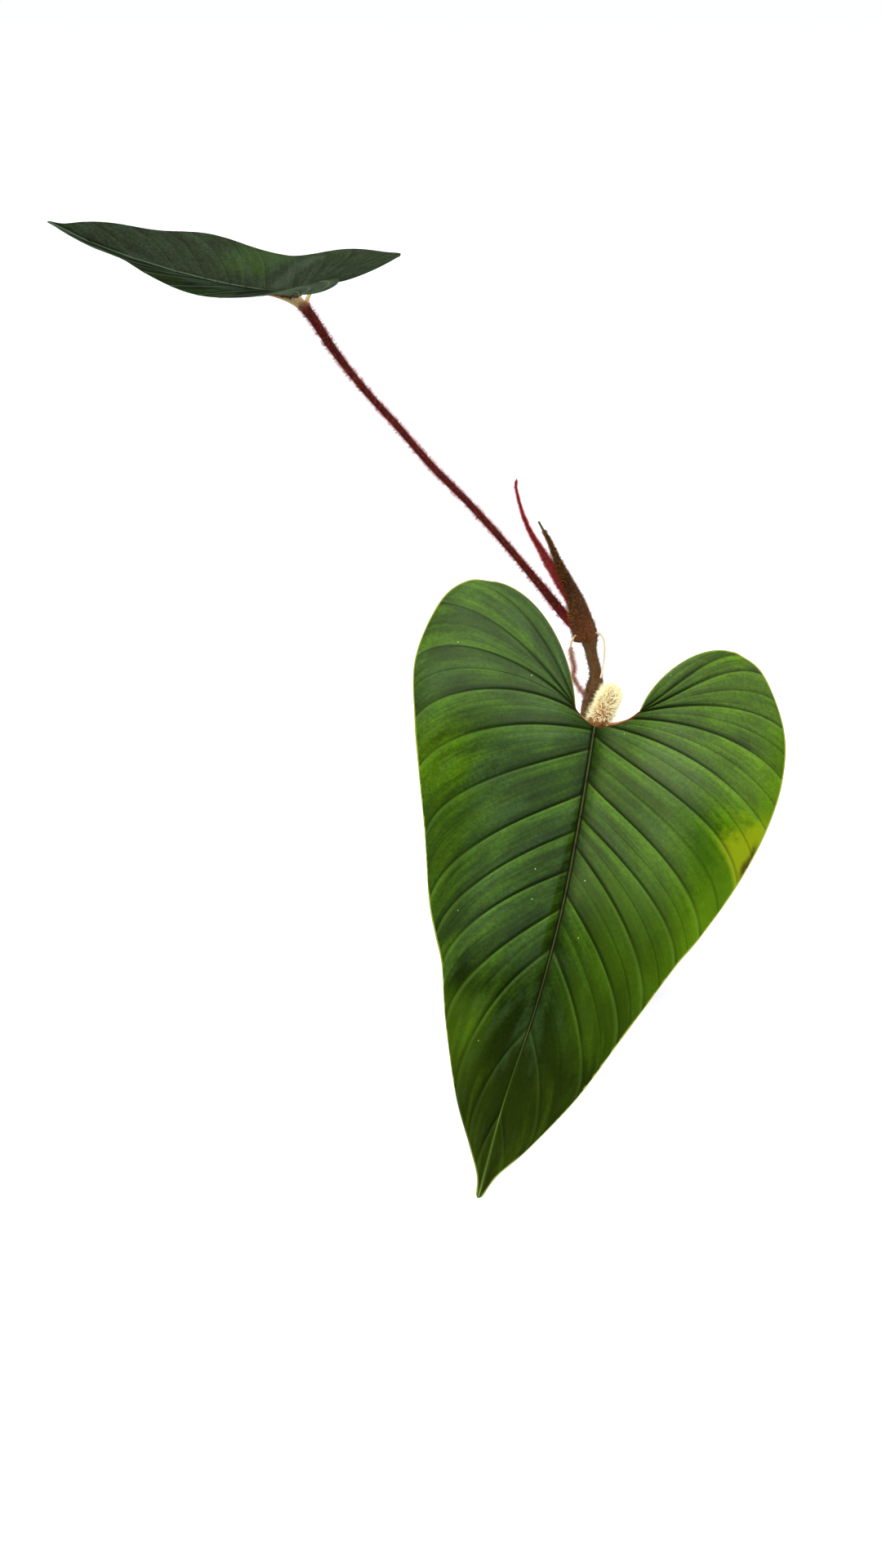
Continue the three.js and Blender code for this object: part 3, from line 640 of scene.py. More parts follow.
def flat_tree(points):
    """A search tree over points of a blade's plane."""
    tree = kdtree.KDTree(len(points))
    for i, point in enumerate(points):
        tree.insert((point[0], point[1], 0), i)
    tree.balance()
    return tree


def blade_surfaces(blade):
    """Both faces of each half over the blade's plane, and the distances that its finish needs."""
    across = np.concatenate([[0], np.linspace(0.012, 1, BLADE_COLUMNS - 1)])
    grids = []
    for half in HALVES:
        places, roots = blade_lines(half)
        grids.append((half, places, roots, vein_grid(half, places, roots, across)))
    margin = flat_tree(np.vstack([np.vstack([points[:, -1], points[0]]) for *_, points in grids]))
    scale = blade["scale"]
    surfaces = []
    for half, places, roots, points in grids:
        from_vein = vein_distance(half, places, across, points)
        reach = np.linalg.norm(points[:, -1] - points[:, 0], axis=-1)[:, None]
        from_spine = across[None, :] * reach
        to_margin = np.array([margin.find((x, y, 0))[2] for x, y in points.reshape(-1, 2)])
        to_margin = to_margin.reshape(from_vein.shape)
        fade = np.clip(VEIN_START - VEIN_FADE * across, VEIN_END, 1)[None, :]
        groove = GROOVE_DEPTH * np.exp(-(from_vein / GROOVE_WIDTH) ** 2) * fade
        top = (blade_height(blade, half, places, across, points) - groove) * scale
        walked = np.abs(np.where(roots < 0, roots * COSTA_THINS, roots))
        share = np.clip(walked / BLADE_LENGTH, 0, 1)[:, None]
        midrib = mix(MIDRIB_DEPTH, MIDRIB_TIP_DEPTH, share) * np.exp(-(from_spine / MIDRIB_WIDTH) ** 2)
        rib = VEIN_RIB_DEPTH * np.exp(-(from_vein / VEIN_RIB_WIDTH) ** 2) * fade
        thick = mix(MARGIN_THICKNESS, BLADE_THICKNESS, smooth(to_margin / MARGIN_TAPER))
        surfaces.append({
            "half": half, "places": places, "across": across, "roots": roots, "points": points,
            "from_vein": from_vein, "from_spine": from_spine, "to_margin": to_margin,
            "top": top, "bottom": top - thick - (midrib + rib) * scale,
        })
    return surfaces


def blade_piece(name, blade, surfaces):
    """A blade with veins, ribs below and a thin margin, as one closed mesh."""
    verts, faces, lower_faces = [], [], []
    maps = {"veins": [], "ribs": [], "plane": [], "edge": []}
    for part in surfaces:
        lines, columns = part["top"].shape
        size = lines * columns
        first = sum(len(v) for v in verts)
        flip = part["half"]["side"] * blade["mirror"] > 0
        for height in (part["top"], part["bottom"]):
            verts.append(place_blade(blade, part["points"], height).reshape(-1, 3))
            veins = (np.repeat(part["places"], columns), np.tile(part["across"], lines))
            edges = (part["to_margin"].ravel(), np.repeat(part["roots"] < 0, columns))
            maps["veins"].append(np.stack(veins, -1))
            maps["ribs"].append(np.stack([part["from_vein"].ravel(), part["from_spine"].ravel()], -1))
            maps["plane"].append(part["points"].reshape(-1, 2) / 100)
            maps["edge"].append(np.stack(edges, -1))
        faces.append(grid_faces(lines, columns, first, flip=not flip))
        lower_faces.append(grid_faces(lines, columns, first + size, flip=flip))
        rims = [
            np.arange(lines) * columns + columns - 1,
            np.arange(columns),
            (lines - 1) * columns + np.arange(columns),
            np.nonzero(part["roots"] <= 0)[0] * columns,
        ]
        for chain in rims:
            a, b = chain[:-1] + first, chain[1:] + first
            lower_faces.append(np.stack([a, b, b + size, a + size], -1))
    upper = sum(len(f) for f in faces)
    uvs = {key: np.vstack(values) for key, values in maps.items()}
    piece = make_mesh(name, np.vstack(verts), np.vstack(faces + lower_faces), uvs)
    weld(piece)
    shades = [0] * upper + [1] * (len(piece.data.polygons) - upper)
    piece.data.polygons.foreach_set("material_index", shades)
    piece.data.set_sharp_from_angle(angle=math.radians(60))
    return piece


def under_blade(blade, surfaces, reach=1.2, room=0.25):
    """A function that gives how far points, in millimetres, stand out above a blade's lower face."""
    near = []
    for part in surfaces:
        close = np.hypot(*np.moveaxis(part["points"], -1, 0)) < JUNCTION_REACH
        near.append(np.column_stack([part["points"][close], part["bottom"][close]]))
    near = np.vstack(near)
    tree = flat_tree(near)
    matrix = blade_matrix(blade)

    def excess(points):
        local = (points - np.array(blade["junction"])) @ matrix.T
        over = np.zeros(len(points))
        for i, (x, y, z) in enumerate(local):
            _, found, away = tree.find((x / blade["scale"] * blade["mirror"], y / blade["scale"], 0))
            if away < reach:
                over[i] = max(0, z - near[found][2] + room)
        return over

    return excess, matrix[2]


def tuck(piece, excess, normal):
    """Push the points of a piece that stand out above a blade's lower face back below it."""
    points = np.array([v.co for v in piece.data.vertices]) / MM
    points -= excess(points)[:, None] * normal
    for vertex, point in zip(piece.data.vertices, points * MM):
        vertex.co = point


# Materials

class Finish:
    """A node material in the making, with helpers for the few kinds of node that it needs."""

    def __init__(self, name, **uniform):
        self.material = bpy.data.materials.new(name)
        self.material.use_nodes = True
        self.nodes = self.material.node_tree.nodes
        self.links = self.material.node_tree.links
        self.shader = self.nodes["Principled BSDF"]
        for key, value in uniform.items():
            self.shader.inputs[key.replace("_", " ")].default_value = value

    def node(self, kind, inputs, **settings):
        node = self.nodes.new(kind)
        for key, value in settings.items():
            setattr(node, key, value)
        for key, value in inputs.items():
            self.feed(node.inputs[key], value)
        return node

    def feed(self, socket, value):
        if isinstance(value, bpy.types.NodeSocket):
            self.links.new(value, socket)
        elif isinstance(value, str):
            socket.default_value = linear(value)
        else:
            socket.default_value = value

    def math(self, operation, a, b=0.0):
        return self.node("ShaderNodeMath", {0: a, 1: b}, operation=operation).outputs[0]

    def times(self, *values):
        """The product of outputs and numbers."""
        product = values[0]
        for value in values[1:]:
            product = self.math("MULTIPLY", product, value)
        return product

    def weighted(self, *parts):
        """The sum of outputs, each times its weight."""
        total = 0.0
        for value, weight in parts:
            inputs = {0: value, 1: weight, 2: total}
            total = self.node("ShaderNodeMath", inputs, operation="MULTIPLY_ADD").outputs[0]
        return total

    def band(self, value, low, high):
        """0 at low, 1 at high, smooth between."""
        inputs = {"Value": value, "From Min": low, "From Max": high}
        return self.node("ShaderNodeMapRange", inputs, interpolation_type="SMOOTHSTEP").outputs["Result"]

    def blend(self, amount, a, b, mode="MIX"):
        inputs = {0: amount, 6: a, 7: b}
        return self.node("ShaderNodeMix", inputs, data_type="RGBA", blend_type=mode).outputs[2]

    def blend_value(self, amount, a, b):
        return self.node("ShaderNodeMix", {0: amount, 2: a, 3: b}, data_type="FLOAT").outputs[0]

    def ramp(self, value, *stops):
        node = self.node("ShaderNodeValToRGB", {"Fac": value})
        ends = node.color_ramp.elements
        for i, (place, code) in enumerate(stops):
            stop = ends[i] if i < 2 else ends.new(place)
            stop.position = place
            stop.color = linear(code)
        return node.outputs["Color"]

    def uv(self, name):
        """The two numbers of a UV map."""
        layer = self.node("ShaderNodeUVMap", {}, uv_map=name).outputs[0]
        parts = self.node("ShaderNodeSeparateXYZ", {0: layer})
        return parts.outputs[0], parts.outputs[1]

    def point(self, x=0.0, y=0.0, z=0.0):
        return self.node("ShaderNodeCombineXYZ", {0: x, 1: y, 2: z}).outputs[0]

    def place(self):
        return self.node("ShaderNodeTexCoord", {}).outputs["Object"]

    def noise(self, vector, scale, detail=2.0, roughness=0.5):
        inputs = {"Vector": vector, "Scale": scale, "Detail": detail, "Roughness": roughness}
        return self.node("ShaderNodeTexNoise", inputs).outputs["Fac"]

    def bump(self, height, distance, strength=1.0):
        inputs = {"Height": height, "Distance": distance, "Strength": strength}
        self.feed(self.shader.inputs["Normal"], self.node("ShaderNodeBump", inputs).outputs[0])

    def done(self, colour):
        self.feed(self.shader.inputs["Base Color"], colour)
        return self.material


class BladeFinish(Finish):
    """A finish that reads a blade's UV maps: places among the veins, distances, and the plane."""

    def __init__(self, name, **uniform):
        super().__init__(name, **uniform)
        self.row, self.across = self.uv("veins")
        self.from_vein, self.from_spine = self.uv("ribs")
        self.to_edge, self.costa = self.uv("edge")
        self.x, self.y = self.uv("plane")

    def cloud(self, fine, coarse, scale, detail, roughness=0.5):
        """Noise that changes quickly from vein to vein and slowly along them."""
        point = self.point(self.times(self.row, fine), self.times(self.across, coarse))
        return self.noise(point, scale, detail, roughness)

    def crease_shading(self):
        """How strongly the painted light and shade of a panel's middle crease show, more on the broad half.
        """
        return self.weighted((self.band(self.x, 0.1, -0.2), 0.6), (1.0, 0.3))

    def vein_side(self):
        """Distance to the nearest vein, above 0 on the lit side of it, and how far on the lit slope."""
        phase = self.math("FRACT", self.row)
        slope = self.band(phase, 1.0, 0.0)
        turned = self.times(self.band(self.row, *LIT_SIDE_TURNS), self.math("GREATER_THAN", self.x, 0.0))
        slope = self.blend_value(turned, slope, self.math("SUBTRACT", 1.0, slope))
        side = self.math("SIGN", self.math("SUBTRACT", 0.5, phase))
        side = self.times(side, self.math("SUBTRACT", 1.0, self.times(turned, 2.0)))
        return self.times(self.from_vein, side), slope


# Noises of the faces, as cloud() takes them
PATCHES = (0.9, 2.6, 1.3, 3.0, 0.55)
STREAKS = (7, 1.7, 1.0, 3.0, 0.6)
# Clouds of the painted sheen
PAINTED_SHEEN_CLOUD = (1.3, 2.3, 1.2, 2.0)
GLOW = (2.1, 1.9, 0.9, 2.0)
THREADS = (26, 2.2, 1.0, 2.0, 0.6)
LOWER_PATCHES = (1.2, 3.0, 1.4, 3.0)
LOWER_THREADS = (30, 2.0, 1.0, 2.0)
TONE_STOPS = (0.1, 0.34, 0.56, 0.78, 1.0)
# In the narrow half's lobe the veins are lit from their other side, up to this row
LIT_SIDE_TURNS = (3.6, 3.4)
# Bands across a vein, in millimetres and above 0 on its lit side: its shade and its light fade in over
# the first pair and out over the second
VEIN_SHADE = ((-1.5, -0.2), (0.35, 0.05))
VEIN_LIGHT = ((0.15, 0.45), (1.8, 0.5))
VEIN_LINE = (0.42, 0.14)
LOWER_RIB = (0.9, 0.4)
LOWER_MIDRIB = (2.6, 1.6)
MARGIN_LINE = (0.8, 0.35)
COSTA_LINE = (1.6, 0.9)
# The midrib turns from its root's colour to its tip's between these heights on the plane
MIDRIB_PALES = (1.25, 1.65)
# Painted shade of the fold midway between two veins: it fades in from this share of a panel off its middle
# and is full at that one
FOLD_SHADE = (0.035, 0.008)


def upper_tones(finish, look, slope):
    """Patches and streaks, painted light and shade on the quilted panels, painted light on the broad half,
    the darker tip and painted shade beside the spine.
    """
    crease = finish.band(finish.math("FRACT", finish.times(finish.row, 2.0)), 1.0, 0.0)
    tone = finish.weighted(
        (finish.cloud(*PATCHES), 0.5 * look["contrast"]),
        (finish.cloud(*STREAKS), 0.42 * look["contrast"]),
        # Painted light on each panel's slope just past a vein and painted shade before the next, and the
        # same again about the crease in the panel's middle
        (slope, 0.26 * look["quilt_shading"]),
        (finish.times(crease, finish.crease_shading()), 0.3 * look["quilt_shading"]),
        (finish.band(finish.across, 0.3, 0.85), 0.04),
        # Painted light on the broad half
        (finish.band(finish.x, *look["broad_edge"]), look["broad_half_painted_light"]),
        (finish.band(finish.y, 0.85, 1.7), -look["tip_shade"]),
        # Painted shade in the valley beside the spine
        (finish.band(finish.from_spine, 7.0, 0.5), -0.16),
    )
    return finish.ramp(finish.math("ADD", tone, look["base"]), *zip(TONE_STOPS, look["tones"]))


def upper_clouds(finish, look, colour):
    """Painted sheen over parts of the face, warmer margins, and a glow on the outer parts."""
    # Painted sheen: a greyish-green reflection laid over cloudy parts of the face
    code, strength = look["painted_sheen"]
    painted_sheen = finish.band(finish.cloud(*PAINTED_SHEEN_CLOUD), 0.48, 0.68)
    colour = finish.blend(finish.times(painted_sheen, strength), colour, code)
    code, narrow, broad = look["warm"]
    warm = finish.weighted((finish.band(finish.x, 0.0, -0.1), broad - narrow), (1.0, narrow))
    warm = finish.times(warm, finish.band(finish.across, 0.25, 0.8))
    colour = finish.blend(warm, colour, code, "MULTIPLY")
    code, strength = look["glow"]
    glow = finish.times(finish.band(finish.cloud(*GLOW), 0.46, 0.68), finish.band(finish.across, 0.25, 0.7))
    return finish.blend(finish.times(glow, strength), colour, code)


def upper_sheens_and_tints(finish, look, colour):
    # Wide soft patches: the pale grey-green ones are painted sheen, the others make parts of the blade
    # darker or greener
    for x_ends, y_ends, code, amount in look["sheens_and_tints"]:
        for value, (starts, full, still, ends) in ((finish.x, x_ends), (finish.y, y_ends)):
            amount = finish.times(amount, finish.band(value, starts, full), finish.band(value, ends, still))
        colour = finish.blend(amount, colour, code)
    return colour


def upper_veins(finish, look, colour, signed):
    """Each side vein's painted shade and painted light on either side and its line, and painted shade in
    the fold midway between two veins.
    """
    broad = finish.band(finish.x, 0.02, -0.02)
    calm = finish.times(finish.band(finish.row, 1.2, 2.9), finish.band(finish.y, 1.6, 1.05))
    calm = finish.weighted((calm, 1 - look["calm"]), (1.0, look["calm"]))
    strengths = (finish.blend_value(broad, *look[key]) for key in ("shade", "light", "line"))
    shade, light, line = (finish.times(strength, calm) for strength in strengths)
    inner = finish.weighted((finish.band(finish.across, 0.95, 0.45), 0.5), (1.0, 0.5))
    shade = finish.times(*(finish.band(signed, *ends) for ends in VEIN_SHADE), inner, shade)
    colour = finish.blend(shade, colour, look["vein_shade"])
    light = finish.times(*(finish.band(signed, *ends) for ends in VEIN_LIGHT), light)
    colour = finish.blend(light, colour, look["vein_light"])
    line = finish.times(line, finish.band(finish.from_vein, *VEIN_LINE))
    line = finish.times(line, finish.band(finish.across, 1.0, 0.85))
    colour = finish.blend(line, colour, finish.ramp(finish.across, *look["veins"]))
    # Painted shade along the fold midway between two veins
    middle = finish.math("ABSOLUTE", finish.math("SUBTRACT", finish.math("FRACT", finish.row), 0.5))
    fold = finish.times(finish.band(middle, *FOLD_SHADE), finish.crease_shading(), calm, look["fold_shade_strength"])
    return finish.blend(fold, colour, look["vein_shade"])


def upper_edges(finish, look, colour):
    """The midrib in layers, with painted shade beside it on the front leaf, the margin's thin line and the
    sinus edge.
    """
    ribs = finish.math("SUBTRACT", 1.0, finish.costa)
    tipwards = finish.band(finish.y, *MIDRIB_PALES)
    # On the front leaf the first, dark layer is painted shade in the valley beside the midrib
    for reach, edge, root, tip in look["midrib"]:
        amount = finish.times(ribs, finish.band(finish.from_spine, reach, edge))
        colour = finish.blend(amount, colour, finish.blend(tipwards, root, tip))
    colour = finish.blend(finish.band(finish.to_edge, *MARGIN_LINE), colour, look["margin"])
    rim = finish.times(finish.costa, finish.band(finish.from_spine, *COSTA_LINE))
    return finish.blend(rim, colour, look["costa"])


def blade_upper(name, look):
    """Upper face: tones from shade to light, then what lies over them, from wide clouds to lines."""
    finish = BladeFinish(name, Roughness=look["roughness"], Specular_IOR_Level=look["specular"])
    signed, slope = finish.vein_side()
    colour = upper_tones(finish, look, slope)
    colour = upper_clouds(finish, look, colour)
    threads = finish.band(finish.cloud(*THREADS), 0.3, 0.72)
    colour = finish.blend(finish.times(threads, 0.34), colour, look["tones"][0])
    grain = finish.noise(finish.place(), 700, 3.0, 0.7)
    colour = finish.blend(0.5, colour, finish.ramp(grain, (0.3, "#303030"), (0.7, "#d0d0d0")), "SOFT_LIGHT")
    colour = upper_sheens_and_tints(finish, look, colour)
    for blemish in look["blemishes"]:
        colour = blemish(finish, colour)
    colour = upper_veins(finish, look, colour, signed)
    colour = upper_edges(finish, look, colour)
    finish.bump(finish.weighted((grain, 0.8), (threads, 1.0)), 0.00016, 0.6)
    return finish.done(colour)


def blade_lower(name, look):
    """Lower face: paler and duller, with raised ribs of other colours."""
    finish = BladeFinish(name, Roughness=0.7, Specular_IOR_Level=0.02)
    colour = finish.ramp(finish.cloud(*LOWER_PATCHES), *zip((0.3, 0.5, 0.7), look["tones"]))
    threads = finish.cloud(*LOWER_THREADS)
    colour = finish.blend(finish.times(finish.band(threads, 0.3, 0.7), 0.25), colour, look["tones"][0])
    ribs = ((finish.from_vein, LOWER_RIB, look["vein"]), (finish.from_spine, LOWER_MIDRIB, look["midrib"]))
    for distance, ends, code in ribs:
        colour = finish.blend(finish.times(finish.band(distance, *ends), 0.85), colour, code)
    finish.bump(threads, 0.00015, 0.5)
    return finish.done(colour)


def hair_finish(name, coat):
    """Hairs that change colour from root to tip, some of them of an odd shade."""
    finish = Finish(name, Roughness=0.55, Specular_IOR_Level=0.0)
    root, tip, odd = coat["colours"]
    chance, along = finish.uv("hair")
    colour = finish.blend(finish.band(along, *coat["turns"]), root, tip)
    return finish.done(finish.blend(finish.band(chance, 0.7, 1.0), colour, odd))


def skin(name, tones, streaks=(10, 9), relief=0.0002, roughness=0.6, ends=()):
    """Skin of a limb: streaks along it, and another colour towards its end if ends says so."""
    finish = Finish(name, Roughness=roughness, Specular_IOR_Level=0.1)
    around, along = finish.uv("limb")
    fine = finish.noise(finish.point(finish.times(around, streaks[0]), along), streaks[1], 3.0, 0.6)
    cloud = finish.noise(finish.place(), 120, 3.0)
    colour = finish.ramp(finish.weighted((fine, 0.6), (cloud, 0.4)), *zip((0.3, 0.5, 0.68), tones))
    for low, high, code in ends:
        colour = finish.blend(finish.band(along, low, high), colour, code)
    finish.bump(fine, relief, 0.7)
    return finish.done(colour)


# Blemishes of the front leaf. The patches lie at the broad half's margin, the yellow one lobewards of
# a vein. Each fades in over the rows of starts and out over those of ends, and its inner edge is at
# these shares across, which move inwards row by row and waver by ragged.
DEEP_GREEN = {
    "starts": (6, 6.15), "ends": (7, 6.4), "edge": (0.45, 0.75), "inwards": 0, "ragged": 0.4,
    "colour": "#213d04", "strength": 0.7,
}
GREEN_HALO = {
    "starts": (2.8, 4.6), "ends": (9.5, 6.5), "edge": (0.66, 1.0), "inwards": 0.02, "ragged": 0.4,
    "colour": "#517208", "strength": 0.4,
}
YELLOW_PATCH = {
    "starts": (4.6, 5.2), "ends": (6.16, 6.02), "edge": (0.8, 0.96), "inwards": 0.17, "ragged": 0.3,
    "colour": "#6b7808", "strength": 0.9,
}
BROWN_SPOT = {
    "starts": (5.2, 5.5), "ends": (6.0, 5.8), "edge": (0.93, 0.98), "inwards": 0, "ragged": 0.1,
    "colour": "#2e1d0c", "strength": 0.85,
}
OLIVE_TIP = {"from": 1.1, "to": 1.9, "strength": 0.72, "colour": "#212b04"}
SPECKS = {"cells": 14, "size": 0.05, "core": 0.02, "share": 0.45, "colour": "#8fae5e"}


def yellowing(finish, colour):
    wobble = finish.math("SUBTRACT", finish.noise(finish.point(finish.x, finish.y), 16, 4.0, 0.6), 0.5)
    broad = finish.math("LESS_THAN", finish.x, 0.0)
    further = finish.math("SUBTRACT", finish.row, YELLOW_PATCH["starts"][1])
    for patch in (DEEP_GREEN, GREEN_HALO, YELLOW_PATCH, BROWN_SPOT):
        out = finish.weighted((finish.across, 1.0), (further, patch["inwards"]), (wobble, patch["ragged"]))
        ends = (finish.band(finish.row, *patch[key]) for key in ("starts", "ends"))
        amount = finish.times(finish.band(out, *patch["edge"]), broad, *ends, patch["strength"])
        colour = finish.blend(amount, colour, patch["colour"])
    return colour


def olive_tip(finish, colour):
    amount = finish.band(finish.y, OLIVE_TIP["from"], OLIVE_TIP["to"])
    return finish.blend(finish.times(amount, OLIVE_TIP["strength"]), colour, OLIVE_TIP["colour"])


def specks(finish, colour):
    """Small pale dots, at random points of the blade."""
    point = finish.point(finish.x, finish.y)
    cells = finish.node("ShaderNodeTexVoronoi", {"Vector": point, "Scale": SPECKS["cells"]})
    chance = finish.node("ShaderNodeSeparateColor", {0: cells.outputs["Color"]}).outputs[0]
    dot = finish.band(cells.outputs["Distance"], SPECKS["size"], SPECKS["core"])
    chosen = finish.math("LESS_THAN", chance, SPECKS["share"])
    return finish.blend(finish.times(dot, chosen), colour, SPECKS["colour"])


# Looks of the two leaves. Pairs of painted vein shade, painted vein light and line hold for the narrow and
# the broad half. A midrib is drawn in layers, each with where it starts and is full, in millimetres from
# the spine, and its colours at root and tip; the front leaf's dark outer layer is painted shade in the
# valley beside the midrib. A tint is wide and soft: along each of the plane's axes it fades in over its
# first two numbers and out over the last two, and its colour and strength follow. The pale grey-green
# tints are painted sheen; the others make parts of the blade darker or greener.
FRONT_LOOK = {
    "sheens_and_tints": (
        # The first four rows are painted sheen
        ((0.03, 0.2, 0.65, 0.9), (-0.75, -0.5, -0.1, 0.25), "#9fb48c", 0.06),
        ((-0.6, -0.35, -0.1, -0.02), (-0.2, 0.1, 0.65, 0.95), "#9fb47c", 0.06),
        ((-0.85, -0.65, -0.3, -0.15), (-0.55, -0.4, 0.1, 0.3), "#b0b494", 0.04),
        ((-0.01, 0, 0.25, 0.5), (-0.1, 0.1, 0.9, 1.2), "#92a890", 0.03),
        ((0.25, 0.45, 0.8, 0.9), (0.35, 0.55, 1.0, 1.2), "#1a2c06", 0.5),
        ((0.08, 0.2, 0.5, 0.6), (1.15, 1.3, 1.5, 1.7), "#628a14", 0.15),
        ((-0.9, -0.8, -0.25, -0.08), (0.4, 0.75, 1.2, 1.5), "#2f4604", 0.5),
        ((-0.7, -0.5, -0.12, -0.02), (0.55, 0.8, 1.5, 1.75), "#142204", 0.22),
    ),
    "tones": ("#111f01", "#263d04", "#3d5f0b", "#567d11", "#759816"),
    "base": -0.36,
    "contrast": 1.26,
    # Painted light and shade on the quilted panels
    "quilt_shading": 0.6,
    # Painted light on the broad half
    "broad_half_painted_light": 0.13,
    "broad_edge": (-0.1, -0.6),
    "tip_shade": 0.46,
    # Painted sheen
    "painted_sheen": ("#3a542c", 0.34),
    "warm": ("#f0f078", 0.3, 1),
    "glow": ("#567a0c", 0.36),
    "vein_shade": "#081401",
    "vein_light": "#64843a",
    "veins": ((0.0, "#3c3c16"), (0.15, "#182405"), (0.55, "#203308"), (0.95, "#4c6616")),
    "shade": (0.8, 0.72),
    "light": (0.13, 0.12),
    "line": (0.55, 0.5),
    "calm": 0.4,
    "fold_shade_strength": 0.4,
    # Dark layer: painted shade in the valley beside the midrib; the thin layer over it is the midrib's own
    # colour
    "midrib": ((1.9, 0.7, "#0a1403", "#253808"), (0.46, 0.22, "#3c3c1c", "#647634")),
    "margin": "#7c8434",
    "costa": "#4e2812",
    "roughness": 0.42,
    "specular": 0.015,
    "blemishes": (yellowing, olive_tip, specks),
    "lower": {"tones": ("#44592f", "#52693a", "#637a48"), "midrib": "#868458", "vein": "#7d865a"},
}
FAR_LOOK = {
    "sheens_and_tints": (
        # The second row is painted sheen
        ((-0.7, -0.5, -0.25, -0.1), (0.25, 0.45, 0.6, 0.85), "#4a7a18", 0.08),
        ((-0.7, -0.6, -0.08, 0), (0.1, 0.18, 0.2, 0.28), "#71806c", 0.06),
    ),
    "tones": ("#10140c", "#1a2014", "#272d20", "#364229", "#4a6028"),
    "base": -0.08,
    "contrast": 0.4,
    # Painted light and shade on the quilted panels
    "quilt_shading": 0.15,
    # Painted light on the broad half, which leaves the narrow half in painted shade
    "broad_half_painted_light": 0.44,
    "broad_edge": (0, -0.06),
    "tip_shade": 0.05,
    # Painted sheen
    "painted_sheen": ("#313d31", 0.5),
    "warm": ("#ffffff", 0, 0),
    "glow": ("#35501d", 0.15),
    "vein_shade": "#10180c",
    "vein_light": "#48523f",
    "veins": ((0.0, "#34412a"), (0.3, "#2a3820"), (0.5, "#263219"), (1.0, "#1e2a16")),
    "shade": (0.35, 0.12),
    "light": (0.45, 0.07),
    "line": (0.3, 0.05),
    "calm": 1,
    "fold_shade_strength": 0,
    "midrib": ((3.2, 1.2, "#2c3824", "#2c3824"), (1.1, 0.4, "#465240", "#465240")),
    "margin": "#1c2614",
    "costa": "#54504a",
    "roughness": 0.6,
    "specular": 0,
    "blemishes": (),
    "lower": {"tones": ("#232f1b", "#2d3c23", "#384a2d"), "midrib": "#4e261b", "vein": "#4a5640"},
}


def pot_finish():
    """Matt off-white stoneware with throwing lines and a few specks."""
    finish = Finish("pot_clay", Roughness=0.62, Specular_IOR_Level=0.35)
    place = finish.node("ShaderNodeSeparateXYZ", {0: finish.place()})
    cloud = finish.noise(finish.place(), 25, 4.0)
    colour = finish.ramp(cloud, (0.3, "#cfcabd"), (0.7, "#e0dcd1"))
    specks = finish.noise(finish.place(), 700, 1.0)
    colour = finish.blend(finish.band(specks, 0.74, 0.8), colour, "#8d7d66")
    rings = finish.noise(finish.point(0.0, 0.0, place.outputs[2]), 420, 2.0)
    finish.bump(finish.weighted((rings, 1.0), (specks, 0.3)), 0.0003, 0.6)
    return finish.done(colour)


def grit_finish(name, tones, scale, relief):
    """Rough matter such as bark, peat or perlite."""
    finish = Finish(name, Roughness=0.92, Specular_IOR_Level=0.2)
    grain = finish.noise(finish.place(), scale, 4.0, 0.65)
    colour = finish.ramp(grain, *zip((0.32, 0.5, 0.7), tones))
    finish.bump(grain, relief, 0.9)
    return finish.done(colour)


# Camera, floor and lights

def build_studio():
    data = bpy.data.cameras.new("camera")
    data.lens = CAMERA_LENS
    data.sensor_width = CAMERA_SENSOR
    camera = bpy.data.objects.new("camera", data)
    camera.location = CAMERA_PLACE
    camera.rotation_euler = (math.radians(90 - CAMERA_PITCH), 0, 0)
    bpy.context.collection.objects.link(camera)
    bpy.context.scene.camera = camera

    bpy.ops.mesh.primitive_plane_add(size=FLOOR_SIZE)
    floor = bpy.context.object
    floor.name = "floor"
    cover = Finish("floor", Roughness=0.85, Specular_IOR_Level=0.1)
    cloud = cover.noise(cover.place(), 3, 2.0)
    floor.data.materials.append(cover.done(cover.blend(cloud, *FLOOR_COLOURS)))

    world = bpy.data.worlds.new("studio")
    world.use_nodes = True
    background = world.node_tree.nodes["Background"]
    background.inputs["Color"].default_value = linear(SKY_COLOUR)
    kinds = ("ShaderNodeTexCoord", "ShaderNodeSeparateXYZ", "ShaderNodeMapRange")
    direction, height, rise = (world.node_tree.nodes.new(kind) for kind in kinds)
    rise.interpolation_type = "SMOOTHSTEP"
    for key, value in {"From Min": "rises_from", "To Min": "horizon", "To Max": "zenith"}.items():
        rise.inputs[key].default_value = SKY[value]
    world.node_tree.links.new(direction.outputs["Generated"], height.inputs[0])
    world.node_tree.links.new(height.outputs[2], rise.inputs["Value"])
    world.node_tree.links.new(rise.outputs["Result"], background.inputs["Strength"])
    bpy.context.scene.world = world

    for box in SOFTBOXES:
        light = bpy.data.lights.new(box["name"], "AREA")
        light.size = box["size"]
        light.energy = box["power"]
        lamp = bpy.data.objects.new(box["name"], light)
        lamp.location = box["place"]
        aim = Vector(LAMP_AIM) - lamp.location
        lamp.rotation_euler = aim.to_track_quat("-Z", "Y").to_euler()
        bpy.context.collection.objects.link(lamp)
    bpy.context.scene.view_settings.view_transform = "Standard"


# Pieces

def finished(piece, materials, slot, *nodes):
    """A piece gets its materials, rides on the plant, and stands for the nodes that it replaces."""
    for material in materials:
        piece.data.materials.append(material)
    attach(piece, "root")
    if nodes:
        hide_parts(*nodes)


def build_leaf(name, blade, surfaces, look, slot):
    piece = blade_piece(f"{name}_leaf_blade", blade, surfaces)
    upper = blade_upper(f"{name}_upper", look)
    lower = blade_lower(f"{name}_lower", look["lower"])
    finished(piece, (upper, lower), slot, f"{name}_leaf")


